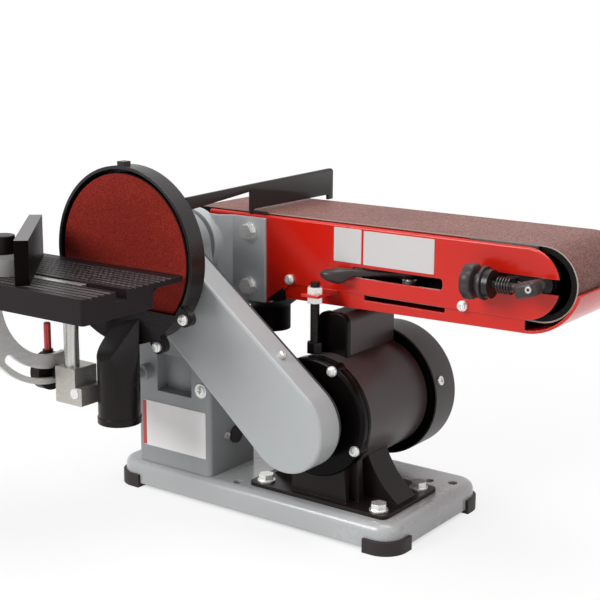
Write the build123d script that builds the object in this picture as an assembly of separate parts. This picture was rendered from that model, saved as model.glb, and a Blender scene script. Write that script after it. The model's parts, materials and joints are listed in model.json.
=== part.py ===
from build123d import *
import os
from math import cos, sin, tan, pi, radians, degrees, atan2, hypot, sqrt

# Belt and disc sander: a 100 x 914 mm belt arm and a 150 mm disc on one arbor, driven by a belt
# from a motor on a pressed steel base. Millimetres, +Z up, standing on Z = 0.
#
# All sizes below are measured from the arbor: X along the belt arm towards the idler end,
# Y backwards from the front rim of the disc guard, Z up from the arbor's axis.

# The arbor's height over the bench
ARBOR_HEIGHT = 245.0

# Clearances
SEAT = 0.05            # between pieces of one body that fit into each other
RUN = 0.05             # radial, a shaft or pin in what it turns in
SLIDE = 0.3            # between sliding or turning faces
GAP = 0.5              # between moving pieces that only pass each other

# Base plate and its rubber corner feet
BASE_LENGTH = 322.0
BASE_WIDTH = 160.0
BASE_LEDGE = 23.0
BASE_FRONT = 54.0
BASE_SHEET = 3.0
BASE_CORNER = 20.0
BASE_EDGE = 8.0
DECK_HEIGHT = 27.0
SKIRT_LIFT = 4.0
BENCH_HOLE = 9.0
BENCH_HOLE_SIDE = 15.0
BENCH_HOLE_BACK = 28.0
BENCH_HOLE_FRONT = 13.0
BENCH_HOLE_BESIDE = 28.0
SPARE_HOLE_INSET = 36.0
FOOT_HEIGHT = 13.0
FOOT_LEG = 29.0
FOOT_WALL = 3.0
FOOT_TREAD = 10.0

# Pedestal casting with the arbor housing
PEDESTAL_WIDTH = 92.0
PEDESTAL_CENTRE_X = 5.0
PEDESTAL_FRONT = 60.0
PEDESTAL_DEPTH = 70.0
PEDESTAL_WALL = 5.0
PEDESTAL_EDGE = 5.0
SHOULDER_DROP = 66.0
WEB_DEPTH = 26.0
WEB_NECK = 32.0
HOUSING_RADIUS = 24.0
HOUSING_LENGTH = 46.0
POCKET_X = 6.5
POCKET_DROP = 124.0
POCKET_WIDTH = 43.0
POCKET_HEIGHT = 38.0
POCKET_DEPTH = 14.0
SOCKET_RADIUS = 8.0
SOCKET_NOSE = 11.0
SOCKET_DEPTH = 24.0
STANDOFF_RADIUS = 6.0
STANDOFF_INSET = 12.0
STANDOFF_ANGLES = (-119.5, -86.7)
GUARD_SCREW = 2.5
GUARD_SCREW_DEPTH = 10.0

# Power switch on the pedestal's left side
SWITCH_WIDTH = 40.0
SWITCH_HEIGHT = 64.0
SWITCH_DEPTH = 22.0
SWITCH_BACK = 18.0
SWITCH_DROP = 145.0
SWITCH_CORNER = 5.0
SWITCH_EDGE = 2.5
BUTTON_WIDTH = 24.0
BUTTON_HEIGHT = 20.0
BUTTON_PITCH = 27.0
BUTTON_PROUD = 6.0
BUTTON_SINK = 9.0
BUTTON_CORNER = 2.5

# Arbor, its ball bearings and the sanding disc
ARBOR_RADIUS = 7.5
BEARING_RADIUS = 17.5
BEARING_WIDTH = 11.0
BEARING_INSET = 1.0
DISC_RADIUS = 75.0
DISC_RECESS = 1.0
ABRASIVE = 1.2
DISC_PLATE = 10.0
DISC_HUB_RADIUS = 14.0
DISC_HUB = 12.0

# Disc guard and dust shroud
DISC_CLEAR = 3.5
GUARD_WALL = 3.0
GUARD_DEPTH = 20.0
GUARD_HOLE = 18.0
GUARD_TAB = (8.0, 4.0, 9.0)
SHROUD_WALL = 2.5
SHROUD_DROP = 46.0
EAR_RADIUS = 7.0
EAR_REACH = 7.0
EAR_DEPTH = 6.0
EAR_ANGLES = (-33.0, -61.0, 213.0)
PORT_X = 6.0
PORT_Y = -15.0
PORT_RADIUS = 19.5
PORT_BORE = 17.0
PORT_BOTTOM = 167.0
PORT_LIP = 0.8
PORT_LIP_HEIGHT = 7.0
HOOD_TOP = 52.0
HOOD_BOTTOM = 97.0
HOOD_RIDGE = (9.0, 9.0)
HOOD_RIDGE_X = 12.0

# Belt drive from the motor to the arbor
PULLEY_RADIUS = 27.0
PULLEY_WIDTH = 16.0
PULLEY_PLACE = 36.0
GROOVE_DEPTH = 8.0
GROOVE_HALF_ANGLE = 20.0
VBELT_WIDTH = 9.0
VBELT_DEPTH = 6.0
COVER_FRONT = 27.0
COVER_DEPTH = 27.0
COVER_RADIUS = 40.5
COVER_TOP_RADIUS = 35.5
COVER_TOP_DROP = 5.5
COVER_WALL = 2.2
COVER_EDGE = 3.0
COVER_LAP = 1.0
BACK_SHEET = 2.5
COVER_SCREW = 3.5
COVER_SCREWS = ((163.5, 1), (60.0, -1))

# Motor
MOTOR_X = 161.5
MOTOR_HEIGHT = 78.5
MOTOR_FRONT = 70.0
BELL_RADIUS = 55.0
BELL_ROUND = 3.5
BELL_DEPTH = 13.0
BELL_GROOVE = 1.0
BELL_GROOVE_PLACE = 8.5
BARREL_RADIUS = 54.0
BARREL_LENGTH = 98.0
BARREL_WALL = 3.0
REAR_BELL = 14.0
COWL_RADIUS = 63.5
COWL_WALL = 1.6
COWL_STANDOFF = 2.0
COWL_SEAT = 7.0
COWL_LENGTH = 38.0
COWL_EDGE = 5.0
COWL_SLOTS = 12
COWL_SLOT = 4.5
COWL_SLOT_INNER = 14.0
COWL_SLOT_OUTER = 46.0
CORE_RADIUS = 30.0
CORE_LENGTH = 70.0
STATOR_GAP = 0.6
FAN_RADIUS = 50.0
FAN_HUB = 13.0
FAN_WIDTH = 15.0
FAN_BLADE = 2.2
FAN_BLADES = 8
TIE_ANGLES = (65.0, 155.0, 245.0, 335.0)
TIE_REACH = 51.7
TIE_BOSS = 5.4
TIE_HEAD = 4.8
TIE_HEIGHT = 3.5
MOTOR_FOOT_SHIFT = 5.0
MOTOR_FOOT_LENGTH = 151.0
MOTOR_FOOT_FRONT = 67.0
MOTOR_FOOT_WIDTH = 93.0
MOTOR_FOOT_PLATE = 3.5
MOTOR_FOOT_CORNER = 6.0
FOOT_WALL_Y = (74.0, 79.0)
FOOT_WALL_LOW = 31.0
FOOT_WALL_HIGH = 22.0
FOOT_CORE_HALF = 26.0
FOOT_RIB_Y = (84.0, 92.0)
FOOT_RIB_REACH = 38.0
FOOT_RIB_TOP = 33.0
BUTTRESS_Y = (100.0, 131.0)
BUTTRESS_REACH = 69.0
BUTTRESS_WAIST = (47.0, 25.0)
BUTTRESS_TOP = (36.0, 45.0)
FOOT_BOLT_SIDE = 13.0
FOOT_BOLT_FRONT = 11.0
FOOT_BOLT_BACK = 13.0
FOOT_SLOT = 16.0
BOLT_RADIUS = 4.0
BOLT_HEX = 6.5
BOLT_HEAD = 5.5
WASHER_RADIUS = 8.5
WASHER = 1.6
BOX_FRONT = 100.0
BOX_WIDTH = 30.0
BOX_LENGTH = 82.0
BOX_CLEAR = 2.0
BOX_EDGE = 9.0
BOX_CAP = 6.0
BOX_LIP = 1.5

# Belt arm
BELT_LENGTH = 914.0
BELT_WIDTH = 100.0
BELT_THICKNESS = 1.2
BELT_NEAR = 118.0
DRUM_RADIUS = 31.0
DRUM_RIM = 5.0
DRUM_HUB = 13.0
DRUM_WEB = 30.0
ARM_SHEET = 2.5
ARM_FACE = 112.0
ARM_LEFT = 10.0
ARM_NOSE_LOW = 15.0
ARM_SKIRT_LEFT = 40.0
ARM_HALF_HEIGHT = 30.5
ARM_SKIRT = 52.0
ARM_SKIRT_END = 82.0
ARM_SKIRT_RUN = 24.0
PLATEN_END = 36.0
PLATEN_LIP = 14.0
ARM_BEND = 2.0
AXLE_RADIUS = 5.0
AXLE_SLOT = 13.0
AXLE_SLOT_RUN = 42.0
ARM_END = 12.0
LOWER_GUARD_LEFT = 84.0
LOWER_GUARD_DROP = 46.0
LOWER_GUARD_END_DROP = 42.5
LOWER_GUARD_TOP = 20.0
CURL_RADIUS = 50.0
CURL_END = -15.0
VENT_LEFT = 186.0
VENT_LENGTH = 83.0
VENT_HEIGHT = 5.5
GUARD_SCREWS = ((106.0, -26.5), (288.0, -26.5))
BRACKET_SHEET = 3.0
BRACKET_FLANGE = 38.0
BRACKET_JOGGLE = 12.0
BRACKET_STEP = 9.0
BRACKET_HUB = 33.0
BRACKET_HUB_LENGTH = 12.0
BRACKET_TOP = 28.0
BRACKET_BOLT_Z = (14.5, -37.5)
BRACKET_BOLT_INSET = 20.0
BELT_PORT_X = 42.0
BELT_PORT_RADIUS = 20.0
BELT_PORT_BORE = 17.5
BELT_PORT_BOTTOM = 92.0
SCOOP_TOP = 36.0
SCOOP_COLLAR = 10.0
SCOOP_LENGTH = 66.0
SCOOP_DEPTH = 22.0
SCOOP_WALL = 2.5

# Work stop across the belt
STOP_X = 60.0
STOP_SHEET = 3.0
STOP_TOP = 57.0
STOP_FAR = 250.0
STOP_NEAR = 40.0
STOP_TONGUE = 9.0
STOP_LIFT = 2.0
STOP_FOOT = 16.0
STOP_SLOT = 5.0
STOP_SLOT_END = 10.0
STOP_SWING = 4.0

# Stop bolt that the level arm rests on
REST_X = 149.0
REST_STANDOFF = 21.0
REST_RADIUS = 4.0
REST_HEX = 6.5
REST_HEAD = 10.0
REST_TOP = 20.0
REST_TAB = 9.0
REST_NUT = 6.0

# Belt tension lever
LEVER_X = 221.0
LEVER_PIVOT = 20.0
LEVER_ANGLE = 60.0
LEVER_LENGTH = 80.0
LEVER_DROP = 11.0
LEVER_HUB = 9.0
LEVER_HUB_HEIGHT = 10.0
LEVER_BLADE = 7.0
LEVER_NECK = 6.0
LEVER_PADDLE = 14.0
LEVER_TAPER = (52.0, 62.0)
LEVER_TIP = 5.6
LEVER_PIN = 4.0
LEVER_PIN_HEAD = 6.4
LEVER_SLOT = 10.0

# Idler fork and belt tracking
FORK_SHEET = 2.5
FORK_HALF_HEIGHT = 11.0
FORK_BEAM = 10.0
FORK_BACK = 52.0
FORK_ROD = 4.0
FORK_ROD_END = 262.0
IDLER_MARGIN = 0.6
TRACK_SCREW = 3.0
TRACK_KNOB = 17.0
TRACK_KNOB_LENGTH = 16.0
TRACK_KNOB_FLUTES = 12
TRACK_FLUTE = 1.6
TRACK_COLLAR = 12.0
TRACK_COLLAR_LENGTH = 9.0
TRACK_BLOCK = (20.0, 20.0, 16.0)
SPRING_LENGTH = 22.0
SPRING_RADIUS = 6.2
SPRING_WIRE = 1.6
SPRING_TURNS = 5
SPRING_SAMPLES = 600

# Disc table, its tilt trunnion and its support
TABLE_RIGHT = 76.0
TABLE_LENGTH = 225.0
TABLE_BACK = 4.0
TABLE_WIDTH = 123.0
TABLE_DROP = 8.0
TABLE_PLATE = 5.0
TABLE_SKIRT = 17.0
TABLE_WALL = 5.0
TABLE_SKIRT_BACK = 38.0
TABLE_CORNER = 3.0
GUSSET = 26.0
GUSSET_THICK = 4.0
GUSSET_INSET = 14.0
SLOT_OFFSET = 45.0
SLOT_WIDTH = 13.0
SLOT_DEPTH = 8.5
SLOT_WALL = 3.0
GROOVE_WIDTH = 1.4
GROOVE_CUT = 0.8
GROOVE_PITCH = 3.6
GROOVES_BEHIND = (14.0, 66.0)
GROOVES_BEFORE = (6.0, 36.0)
TILT_BACK = 26.0
TILT_DROP = 22.0
TRUNNION_X = -58.0
TRUNNION_SHEET = 5.0
TRUNNION_CLEAR = 0.5
TRUNNION_BAND = 27.5
TRUNNION_RIM = 10.0
TRUNNION_FROM = 184.0
TRUNNION_TO = 280.0
TRUNNION_REST = 270.0
TRUNNION_TRAVEL = 45.0
POST_X = -38.0
POST_RADIUS = 7.0
POST_EYE = 5.0
POST_SOCKET = 4.0
PIN_RADIUS = 3.0
LUG_RADIUS = 8.0
LUG_THICK = 6.0
BAR_X = -26.0
BAR_RISE = 11.0
BAR_RADIUS = 5.0
BAR_REACH = 40.0
BLOCK_LEFT = -50.0
BLOCK_WIDTH = 33.0
BLOCK_STEP = 8.0
BLOCK_DEPTH = 28.0
BLOCK_RISE = 9.5
BLOCK_SHELF = 7.5
BLOCK_HEIGHT = 34.0
CLAMP_RADIUS = 4.0
CLAMP_CLEAR = 0.5
CLAMP_COLLAR = 7.0
LEVER_HUB_RADIUS = 18.0
LEVER_HUB_THICK = 12.0
LEVER_ARM = 5.0
LEVER_REACH = 46.0
GRIP_RADIUS = 3.4
GRIP_LENGTH = 26.0

# Mitre gauge, set at an angle to the disc
MITRE_X = -66.0
MITRE_SET = 42.0
MITRE_BAR_FRONT = 96.0
MITRE_BAR_LENGTH = 160.0
MITRE_BAR_HEIGHT = 7.0
MITRE_RADIUS = 34.0
MITRE_BODY = 15.0
MITRE_FENCE_FACE = 29.0
MITRE_FENCE = 12.0
MITRE_FENCE_HALF = 70.0
MITRE_FENCE_HEIGHT = 38.0
MITRE_KNOB = 11.0
MITRE_KNOB_HEIGHT = 16.0
MITRE_STUD = 4.0

# Levels and places that follow from the sizes above
FLOOR = -ARBOR_HEIGHT
DECK = FLOOR + DECK_HEIGHT
MOTOR_Z = DECK + MOTOR_HEIGHT
PEDESTAL_LEFT = PEDESTAL_CENTRE_X - PEDESTAL_WIDTH / 2
PEDESTAL_RIGHT = PEDESTAL_CENTRE_X + PEDESTAL_WIDTH / 2
PEDESTAL_BACK = PEDESTAL_FRONT + PEDESTAL_DEPTH
BASE_LEFT = PEDESTAL_LEFT - BASE_LEDGE
BASE_RIGHT = BASE_LEFT + BASE_LENGTH
BASE_BACK = BASE_FRONT + BASE_WIDTH
GUARD_RADIUS = DISC_RADIUS + DISC_CLEAR + GUARD_WALL
COVER_BACK = COVER_FRONT + COVER_DEPTH
HOUSING_BACK = PEDESTAL_FRONT + HOUSING_LENGTH
BEARING_PLACES = (PEDESTAL_FRONT + BEARING_INSET, HOUSING_BACK - BEARING_INSET - BEARING_WIDTH)
BARREL_FRONT = MOTOR_FRONT + BELL_DEPTH
BARREL_BACK = BARREL_FRONT + BARREL_LENGTH
REAR_END = BARREL_BACK + REAR_BELL
COWL_FRONT = BARREL_BACK + COWL_STANDOFF
BOX_TOP = -LOWER_GUARD_DROP - BOX_CLEAR
MOTOR_FOOT_X = MOTOR_X + MOTOR_FOOT_SHIFT
MOTOR_FOOT_BACK = MOTOR_FOOT_FRONT + MOTOR_FOOT_WIDTH
MOTOR_SEAT = MOTOR_FRONT + BARREL_WALL
MOTOR_BEARING_PLACES = (MOTOR_SEAT, REAR_END - BEARING_INSET - BEARING_WIDTH)
BELT_FAR = BELT_NEAR + BELT_WIDTH
BELT_INNER = DRUM_RADIUS + SLIDE
BELT_OUTER = BELT_INNER + BELT_THICKNESS
IDLER_X = (BELT_LENGTH - pi * (BELT_INNER + BELT_OUTER)) / 2
ARM_BACK = ARM_FACE + ARM_SHEET
ARM_ROUND_X = IDLER_X - ARM_END
PLATEN_RIGHT = IDLER_X - PLATEN_END
REST_Y = ARM_FACE - REST_STANDOFF
REST_TAB_Z = -ARM_HALF_HEIGHT - ARM_SHEET
TABLE_TOP = -TABLE_DROP
TABLE_REAR = -TABLE_BACK
TABLE_FRONT = TABLE_REAR - TABLE_WIDTH
TABLE_LEFT = TABLE_RIGHT - TABLE_LENGTH
SLOT_Y = TABLE_FRONT + SLOT_OFFSET
TILT_Y = TABLE_REAR - TILT_BACK
TILT_Z = TABLE_TOP - TILT_DROP
BLOCK_FRONT = -BAR_REACH
BLOCK_BACK = BLOCK_FRONT + BLOCK_DEPTH
TRUNNION_OUTER = TABLE_WIDTH - TILT_BACK - TABLE_WALL - TRUNNION_CLEAR
TRUNNION_INNER = TRUNNION_OUTER - TRUNNION_BAND
TRUNNION_SLOT = TRUNNION_OUTER - TRUNNION_RIM
CLAMP_Z = TILT_Z - TRUNNION_SLOT
BLOCK_TOP = -CLAMP_Z - BLOCK_RISE
BLOCK_LEDGE = -CLAMP_Z + BLOCK_SHELF
BLOCK_BOTTOM = BLOCK_TOP + BLOCK_HEIGHT
BAR_DROP = BLOCK_BOTTOM - BAR_RISE
TRUNNION_LEFT = TRUNNION_X - TRUNNION_SHEET
TRACK_Y = ARM_FACE - TRACK_KNOB - 2 * GAP
SPRING_RIGHT = IDLER_X - TRACK_BLOCK[0] / 2
SPRING_LEFT = SPRING_RIGHT - SPRING_LENGTH
PULLEY_CENTRES = hypot(MOTOR_X, MOTOR_Z)
COVER_ANGLE = degrees(atan2(MOTOR_Z, MOTOR_X))

# The arbor's place in the part's own frame, whose origin is under the middle of the whole
CURL_TIP = ARM_ROUND_X + CURL_RADIUS * cos(radians(CURL_END))
STOP_TIP = ARM_FACE + (STOP_FAR - ARM_FACE) * cos(radians(STOP_SWING))
ARBOR_X = -(TABLE_LEFT + CURL_TIP) / 2
ARBOR_Y = -(TABLE_FRONT + STOP_TIP) / 2


def block(x, y, z):
    """A box between two limits on each axis."""
    centre = Pos((x[0] + x[1]) / 2, (y[0] + y[1]) / 2, (z[0] + z[1]) / 2)
    return centre * Box(x[1] - x[0], y[1] - y[0], z[1] - z[0])


def rod_x(radius, x0, x1, y=0.0, z=0.0):
    return Pos((x0 + x1) / 2, y, z) * Rot(0, 90, 0) * Cylinder(radius, x1 - x0)


def rod_y(radius, y0, y1, x=0.0, z=0.0):
    return Pos(x, (y0 + y1) / 2, z) * Rot(90, 0, 0) * Cylinder(radius, y1 - y0)


def rod_z(radius, z0, z1, x=0.0, y=0.0):
    return Pos(x, y, (z0 + z1) / 2) * Cylinder(radius, z1 - z0)


def tube_y(outer, inner, y0, y1, x=0.0, z=0.0):
    return rod_y(outer, y0, y1, x, z) - rod_y(inner, y0, y1, x, z)


def slab_x(sketch, x0, x1):
    """A sketch drawn in Y and Z, between two X limits."""
    return Pos(x0, 0, 0) * extrude(Plane.YZ * sketch, amount=x1 - x0)


def slab_y(sketch, y0, y1):
    """A sketch drawn in X and Z, between two Y limits."""
    return Pos(0, y1, 0) * extrude(Plane.XZ * sketch, amount=y1 - y0)


def slab_z(sketch, z0, z1):
    """A sketch drawn in X and Y, between two Z limits."""
    return Pos(0, 0, z0) * extrude(sketch, amount=z1 - z0)


def outline(*points):
    return make_face(Polyline(*points, close=True))


def hexagon(radius):
    """A hexagon of a given half width across its flats."""
    return RegularPolygon(radius, 6, major_radius=False)


def turned_y(points, x=0.0, z=0.0):
    """A solid of revolution about an axis along Y, from (radius, y) points."""
    profile = make_face(Polyline(*[(r, y) for r, y in points], close=True))
    return Pos(x, 0, z) * revolve(profile, Axis.Y)


def screw_y(x, z, y, radius, height, shank=0.0):
    """A pan head standing out towards -Y from a face at y, with a shank behind it."""
    head = rod_y(radius, y - height, y, x, z)
    head = chamfer(head.faces().sort_by(Axis.Y)[0].edges(), height / 3)
    if shank:
        head += rod_y(radius / 2, y, y + shank, x, z)
    return head


def base():
    """The pressed steel tray and the rubber caps on its corners."""
    centre = Pos((BASE_LEFT + BASE_RIGHT) / 2, (BASE_FRONT + BASE_BACK) / 2, 0)
    bottom = FLOOR + SKIRT_LIFT

    def tray(inset, top, edge):
        plan = RectangleRounded(BASE_LENGTH - 2 * inset, BASE_WIDTH - 2 * inset, BASE_CORNER - inset)
        body = slab_z(centre * plan, bottom, top)
        return fillet(body.faces().sort_by(Axis.Z)[-1].edges(), edge)

    plate = tray(0, DECK, BASE_EDGE) - tray(BASE_SHEET, DECK - BASE_SHEET, BASE_EDGE - BASE_SHEET)
    for x, y in bench_holes():
        plate -= rod_z(BENCH_HOLE / 2, DECK - 2 * BASE_SHEET, DECK + BASE_SHEET, x, y)
    for x, y in motor_bolt_places():
        plate -= rod_z(BOLT_RADIUS + GAP, DECK - 2 * BASE_SHEET, DECK + BASE_SHEET, x, y)

    def ring(grow, z0, z1):
        plan = RectangleRounded(BASE_LENGTH + 2 * grow, BASE_WIDTH + 2 * grow, BASE_CORNER + grow)
        return slab_z(centre * plan, z0, z1)

    top = FLOOR + FOOT_HEIGHT
    caps = ring(FOOT_WALL, FLOOR, top) - ring(0, bottom, top) - ring(-FOOT_TREAD, FLOOR, top)
    middle_x = BASE_LENGTH / 2 - FOOT_LEG
    middle_y = BASE_WIDTH / 2 - FOOT_LEG
    caps -= centre * Pos(0, 0, FLOOR) * Box(2 * middle_x, 2 * BASE_WIDTH, 4 * FOOT_HEIGHT)
    caps -= centre * Pos(0, 0, FLOOR) * Box(2 * BASE_LENGTH, 2 * middle_y, 4 * FOOT_HEIGHT)
    return {"base_plate": plate, "corner_feet": caps}


def bench_holes():
    """Holes in the deck for bolts into a bench: one at the front, two at the back and a spare one."""
    back = BASE_BACK - BENCH_HOLE_BACK
    front = (PEDESTAL_RIGHT + BENCH_HOLE_BESIDE, BASE_FRONT + BENCH_HOLE_FRONT)
    spare = (BASE_RIGHT - SPARE_HOLE_INSET, BASE_BACK - SPARE_HOLE_INSET)
    return [front, (BASE_LEFT + BENCH_HOLE_SIDE, back), (BASE_RIGHT - BENCH_HOLE_SIDE, back), spare]


def pedestal():
    """A hollow column with a front pocket, the arbor housing and the bosses it carries."""
    shoulder = -SHOULDER_DROP
    sides = (PEDESTAL_LEFT, PEDESTAL_RIGHT)
    column = block(sides, (PEDESTAL_FRONT, PEDESTAL_BACK), (DECK, shoulder))
    column = fillet(column.edges().filter_by(Axis.Z), PEDESTAL_EDGE)
    wall = PEDESTAL_WALL
    column -= block((PEDESTAL_LEFT + wall, PEDESTAL_RIGHT - wall),
                    (PEDESTAL_FRONT + wall, PEDESTAL_BACK - wall), (DECK, shoulder - wall))

    web_back = PEDESTAL_FRONT + WEB_DEPTH
    web = outline((PEDESTAL_LEFT + PEDESTAL_EDGE, shoulder - wall),
                  (PEDESTAL_RIGHT - PEDESTAL_EDGE, shoulder - wall),
                  (WEB_NECK, 0), (-WEB_NECK, 0)) + Circle(WEB_NECK)
    body = column + slab_y(web, PEDESTAL_FRONT, web_back)
    body += rod_y(HOUSING_RADIUS, PEDESTAL_FRONT, HOUSING_BACK)

    pocket_x = (POCKET_X - POCKET_WIDTH / 2, POCKET_X + POCKET_WIDTH / 2)
    pocket_z = (-POCKET_DROP - POCKET_HEIGHT / 2, -POCKET_DROP + POCKET_HEIGHT / 2)
    body += block((pocket_x[0] - wall, pocket_x[1] + wall),
                  (PEDESTAL_FRONT + wall, PEDESTAL_FRONT + POCKET_DEPTH + wall),
                  (pocket_z[0] - wall, pocket_z[1] + wall))
    body -= block(pocket_x, (PEDESTAL_FRONT, PEDESTAL_FRONT + POCKET_DEPTH), pocket_z)

    socket_front = PEDESTAL_FRONT - SOCKET_NOSE
    socket_back = PEDESTAL_FRONT + SOCKET_DEPTH
    body += rod_y(SOCKET_RADIUS, socket_front, socket_back, BAR_X, -BAR_DROP)
    body -= rod_y(BAR_RADIUS + SEAT, socket_front, socket_back, BAR_X, -BAR_DROP)

    for x, z in standoff_places():
        body += rod_y(STANDOFF_RADIUS, GUARD_DEPTH, PEDESTAL_FRONT + wall, x, z)
        body -= rod_y(GUARD_SCREW + SEAT, GUARD_DEPTH, GUARD_DEPTH + GUARD_SCREW_DEPTH, x, z)
    for place in BEARING_PLACES:
        body -= rod_y(BEARING_RADIUS + SEAT, place, place + BEARING_WIDTH)
    near, far = BEARING_PLACES
    for start, end in ((PEDESTAL_FRONT, near), (far + BEARING_WIDTH, HOUSING_BACK)):
        body -= rod_y(BEARING_RADIUS + SEAT, start, end)
    body -= rod_y((ARBOR_RADIUS + BEARING_RADIUS) / 2, PEDESTAL_FRONT, HOUSING_BACK)

    return {"pedestal": body}


def standoff_places():
    """Where the guard's back wall is screwed to the pedestal."""
    reach = GUARD_RADIUS - STANDOFF_INSET
    return [(reach * cos(radians(a)), reach * sin(radians(a))) for a in STANDOFF_ANGLES]


def power_switch():
    """A switch box on the pedestal's left wall, with a start and a stop button."""
    outer = PEDESTAL_LEFT - SWITCH_DEPTH
    y = (PEDESTAL_FRONT + SWITCH_BACK, PEDESTAL_FRONT + SWITCH_BACK + SWITCH_WIDTH)
    middle_y = (y[0] + y[1]) / 2
    half = SWITCH_HEIGHT / 2
    body = block((outer, PEDESTAL_LEFT), y, (-SWITCH_DROP - half, -SWITCH_DROP + half))
    body = fillet(body.edges().filter_by(Axis.X), SWITCH_CORNER)
    body = fillet(body.faces().sort_by(Axis.X)[0].edges(), SWITCH_EDGE)
    pieces = {}
    for name, side in (("start_button", 1), ("stop_button", -1)):
        z = -SWITCH_DROP + side * BUTTON_PITCH / 2
        well = Box(2 * BUTTON_SINK, BUTTON_WIDTH + 2 * SLIDE, BUTTON_HEIGHT + 2 * SLIDE)
        body -= Pos(outer, middle_y, z) * well
        length = BUTTON_PROUD + BUTTON_SINK / 2
        button = Box(length, BUTTON_WIDTH, BUTTON_HEIGHT)
        button = fillet(button.edges().filter_by(Axis.X), BUTTON_CORNER)
        pieces[name] = Pos(outer - BUTTON_PROUD + length / 2, middle_y, z) * button
    pieces["switch_body"] = body
    return pieces


def motor_bolt_places():
    half = MOTOR_FOOT_LENGTH / 2 - FOOT_BOLT_SIDE
    near = MOTOR_FOOT_FRONT + FOOT_BOLT_FRONT
    far = MOTOR_FOOT_BACK - FOOT_BOLT_BACK
    return [(MOTOR_FOOT_X + side * half, y) for side in (-1, 1) for y in (near, far)]


def motor_foot():
    """A cast foot with a front wall, a rib and flared buttresses, and the bolts through its slots."""
    top = DECK + MOTOR_FOOT_PLATE
    half = MOTOR_FOOT_LENGTH / 2
    limits = (MOTOR_FOOT_FRONT, MOTOR_FOOT_BACK)
    foot = block((MOTOR_FOOT_X - half, MOTOR_FOOT_X + half), limits, (DECK, top))
    foot = fillet(foot.edges().filter_by(Axis.Z), MOTOR_FOOT_CORNER)

    def trapezoid(low, high):
        return Pos(MOTOR_FOOT_X, 0) * outline((-low, DECK), (low, DECK), (high, MOTOR_Z), (-high, MOTOR_Z))

    waist_x, waist_rise = BUTTRESS_WAIST
    neck_x, neck_rise = BUTTRESS_TOP
    neck = (neck_x, DECK + neck_rise)
    flare = ThreePointArc((BUTTRESS_REACH, top), (waist_x, DECK + waist_rise), neck)
    rest = Polyline(neck, (0, neck[1]), (0, DECK), (BUTTRESS_REACH, DECK), (BUTTRESS_REACH, top))
    side = make_face(flare + rest)
    flared = Pos(MOTOR_FOOT_X, 0) * (side + mirror(side, about=Plane.YZ))
    foot += slab_y(trapezoid(FOOT_WALL_LOW, FOOT_WALL_HIGH), *FOOT_WALL_Y)
    foot += slab_y(trapezoid(FOOT_CORE_HALF, FOOT_CORE_HALF), FOOT_WALL_Y[1], BUTTRESS_Y[1])
    foot += slab_y(trapezoid(FOOT_RIB_REACH, FOOT_RIB_TOP), *FOOT_RIB_Y)
    foot += slab_y(flared, *BUTTRESS_Y)
    foot -= rod_y(BELL_RADIUS + SEAT, MOTOR_FRONT, BARREL_FRONT, MOTOR_X, MOTOR_Z)
    foot -= rod_y(BARREL_RADIUS + SEAT, BARREL_FRONT, MOTOR_FOOT_BACK, MOTOR_X, MOTOR_Z)
    for x, z in tie_places():
        foot -= rod_y(TIE_BOSS + SEAT, MOTOR_FRONT, BARREL_FRONT, x, z)
    bolts = Part()
    for x, y in motor_bolt_places():
        slot = SlotOverall(FOOT_SLOT, 2 * (BOLT_RADIUS + GAP))
        foot -= slab_z(Pos(x, y) * slot, DECK, top)
        bolts += hex_bolt_z(x, y, top, DECK - BASE_SHEET)
    return {"motor_foot": foot, "motor_bolts": bolts}


def hex_bolt_z(x, y, seat, end):
    """A hexagon bolt with its washer on a seat, its shank going down to an end."""
    washer = rod_z(WASHER_RADIUS, seat, seat + WASHER, x, y)
    head = slab_z(Pos(x, y) * hexagon(BOLT_HEX), seat + WASHER, seat + WASHER + BOLT_HEAD)
    return washer + head + rod_z(BOLT_RADIUS, end, seat, x, y)


def tie_places():
    angles = [radians(a) for a in TIE_ANGLES]
    return [(MOTOR_X + TIE_REACH * cos(a), MOTOR_Z + TIE_REACH * sin(a)) for a in angles]


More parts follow.
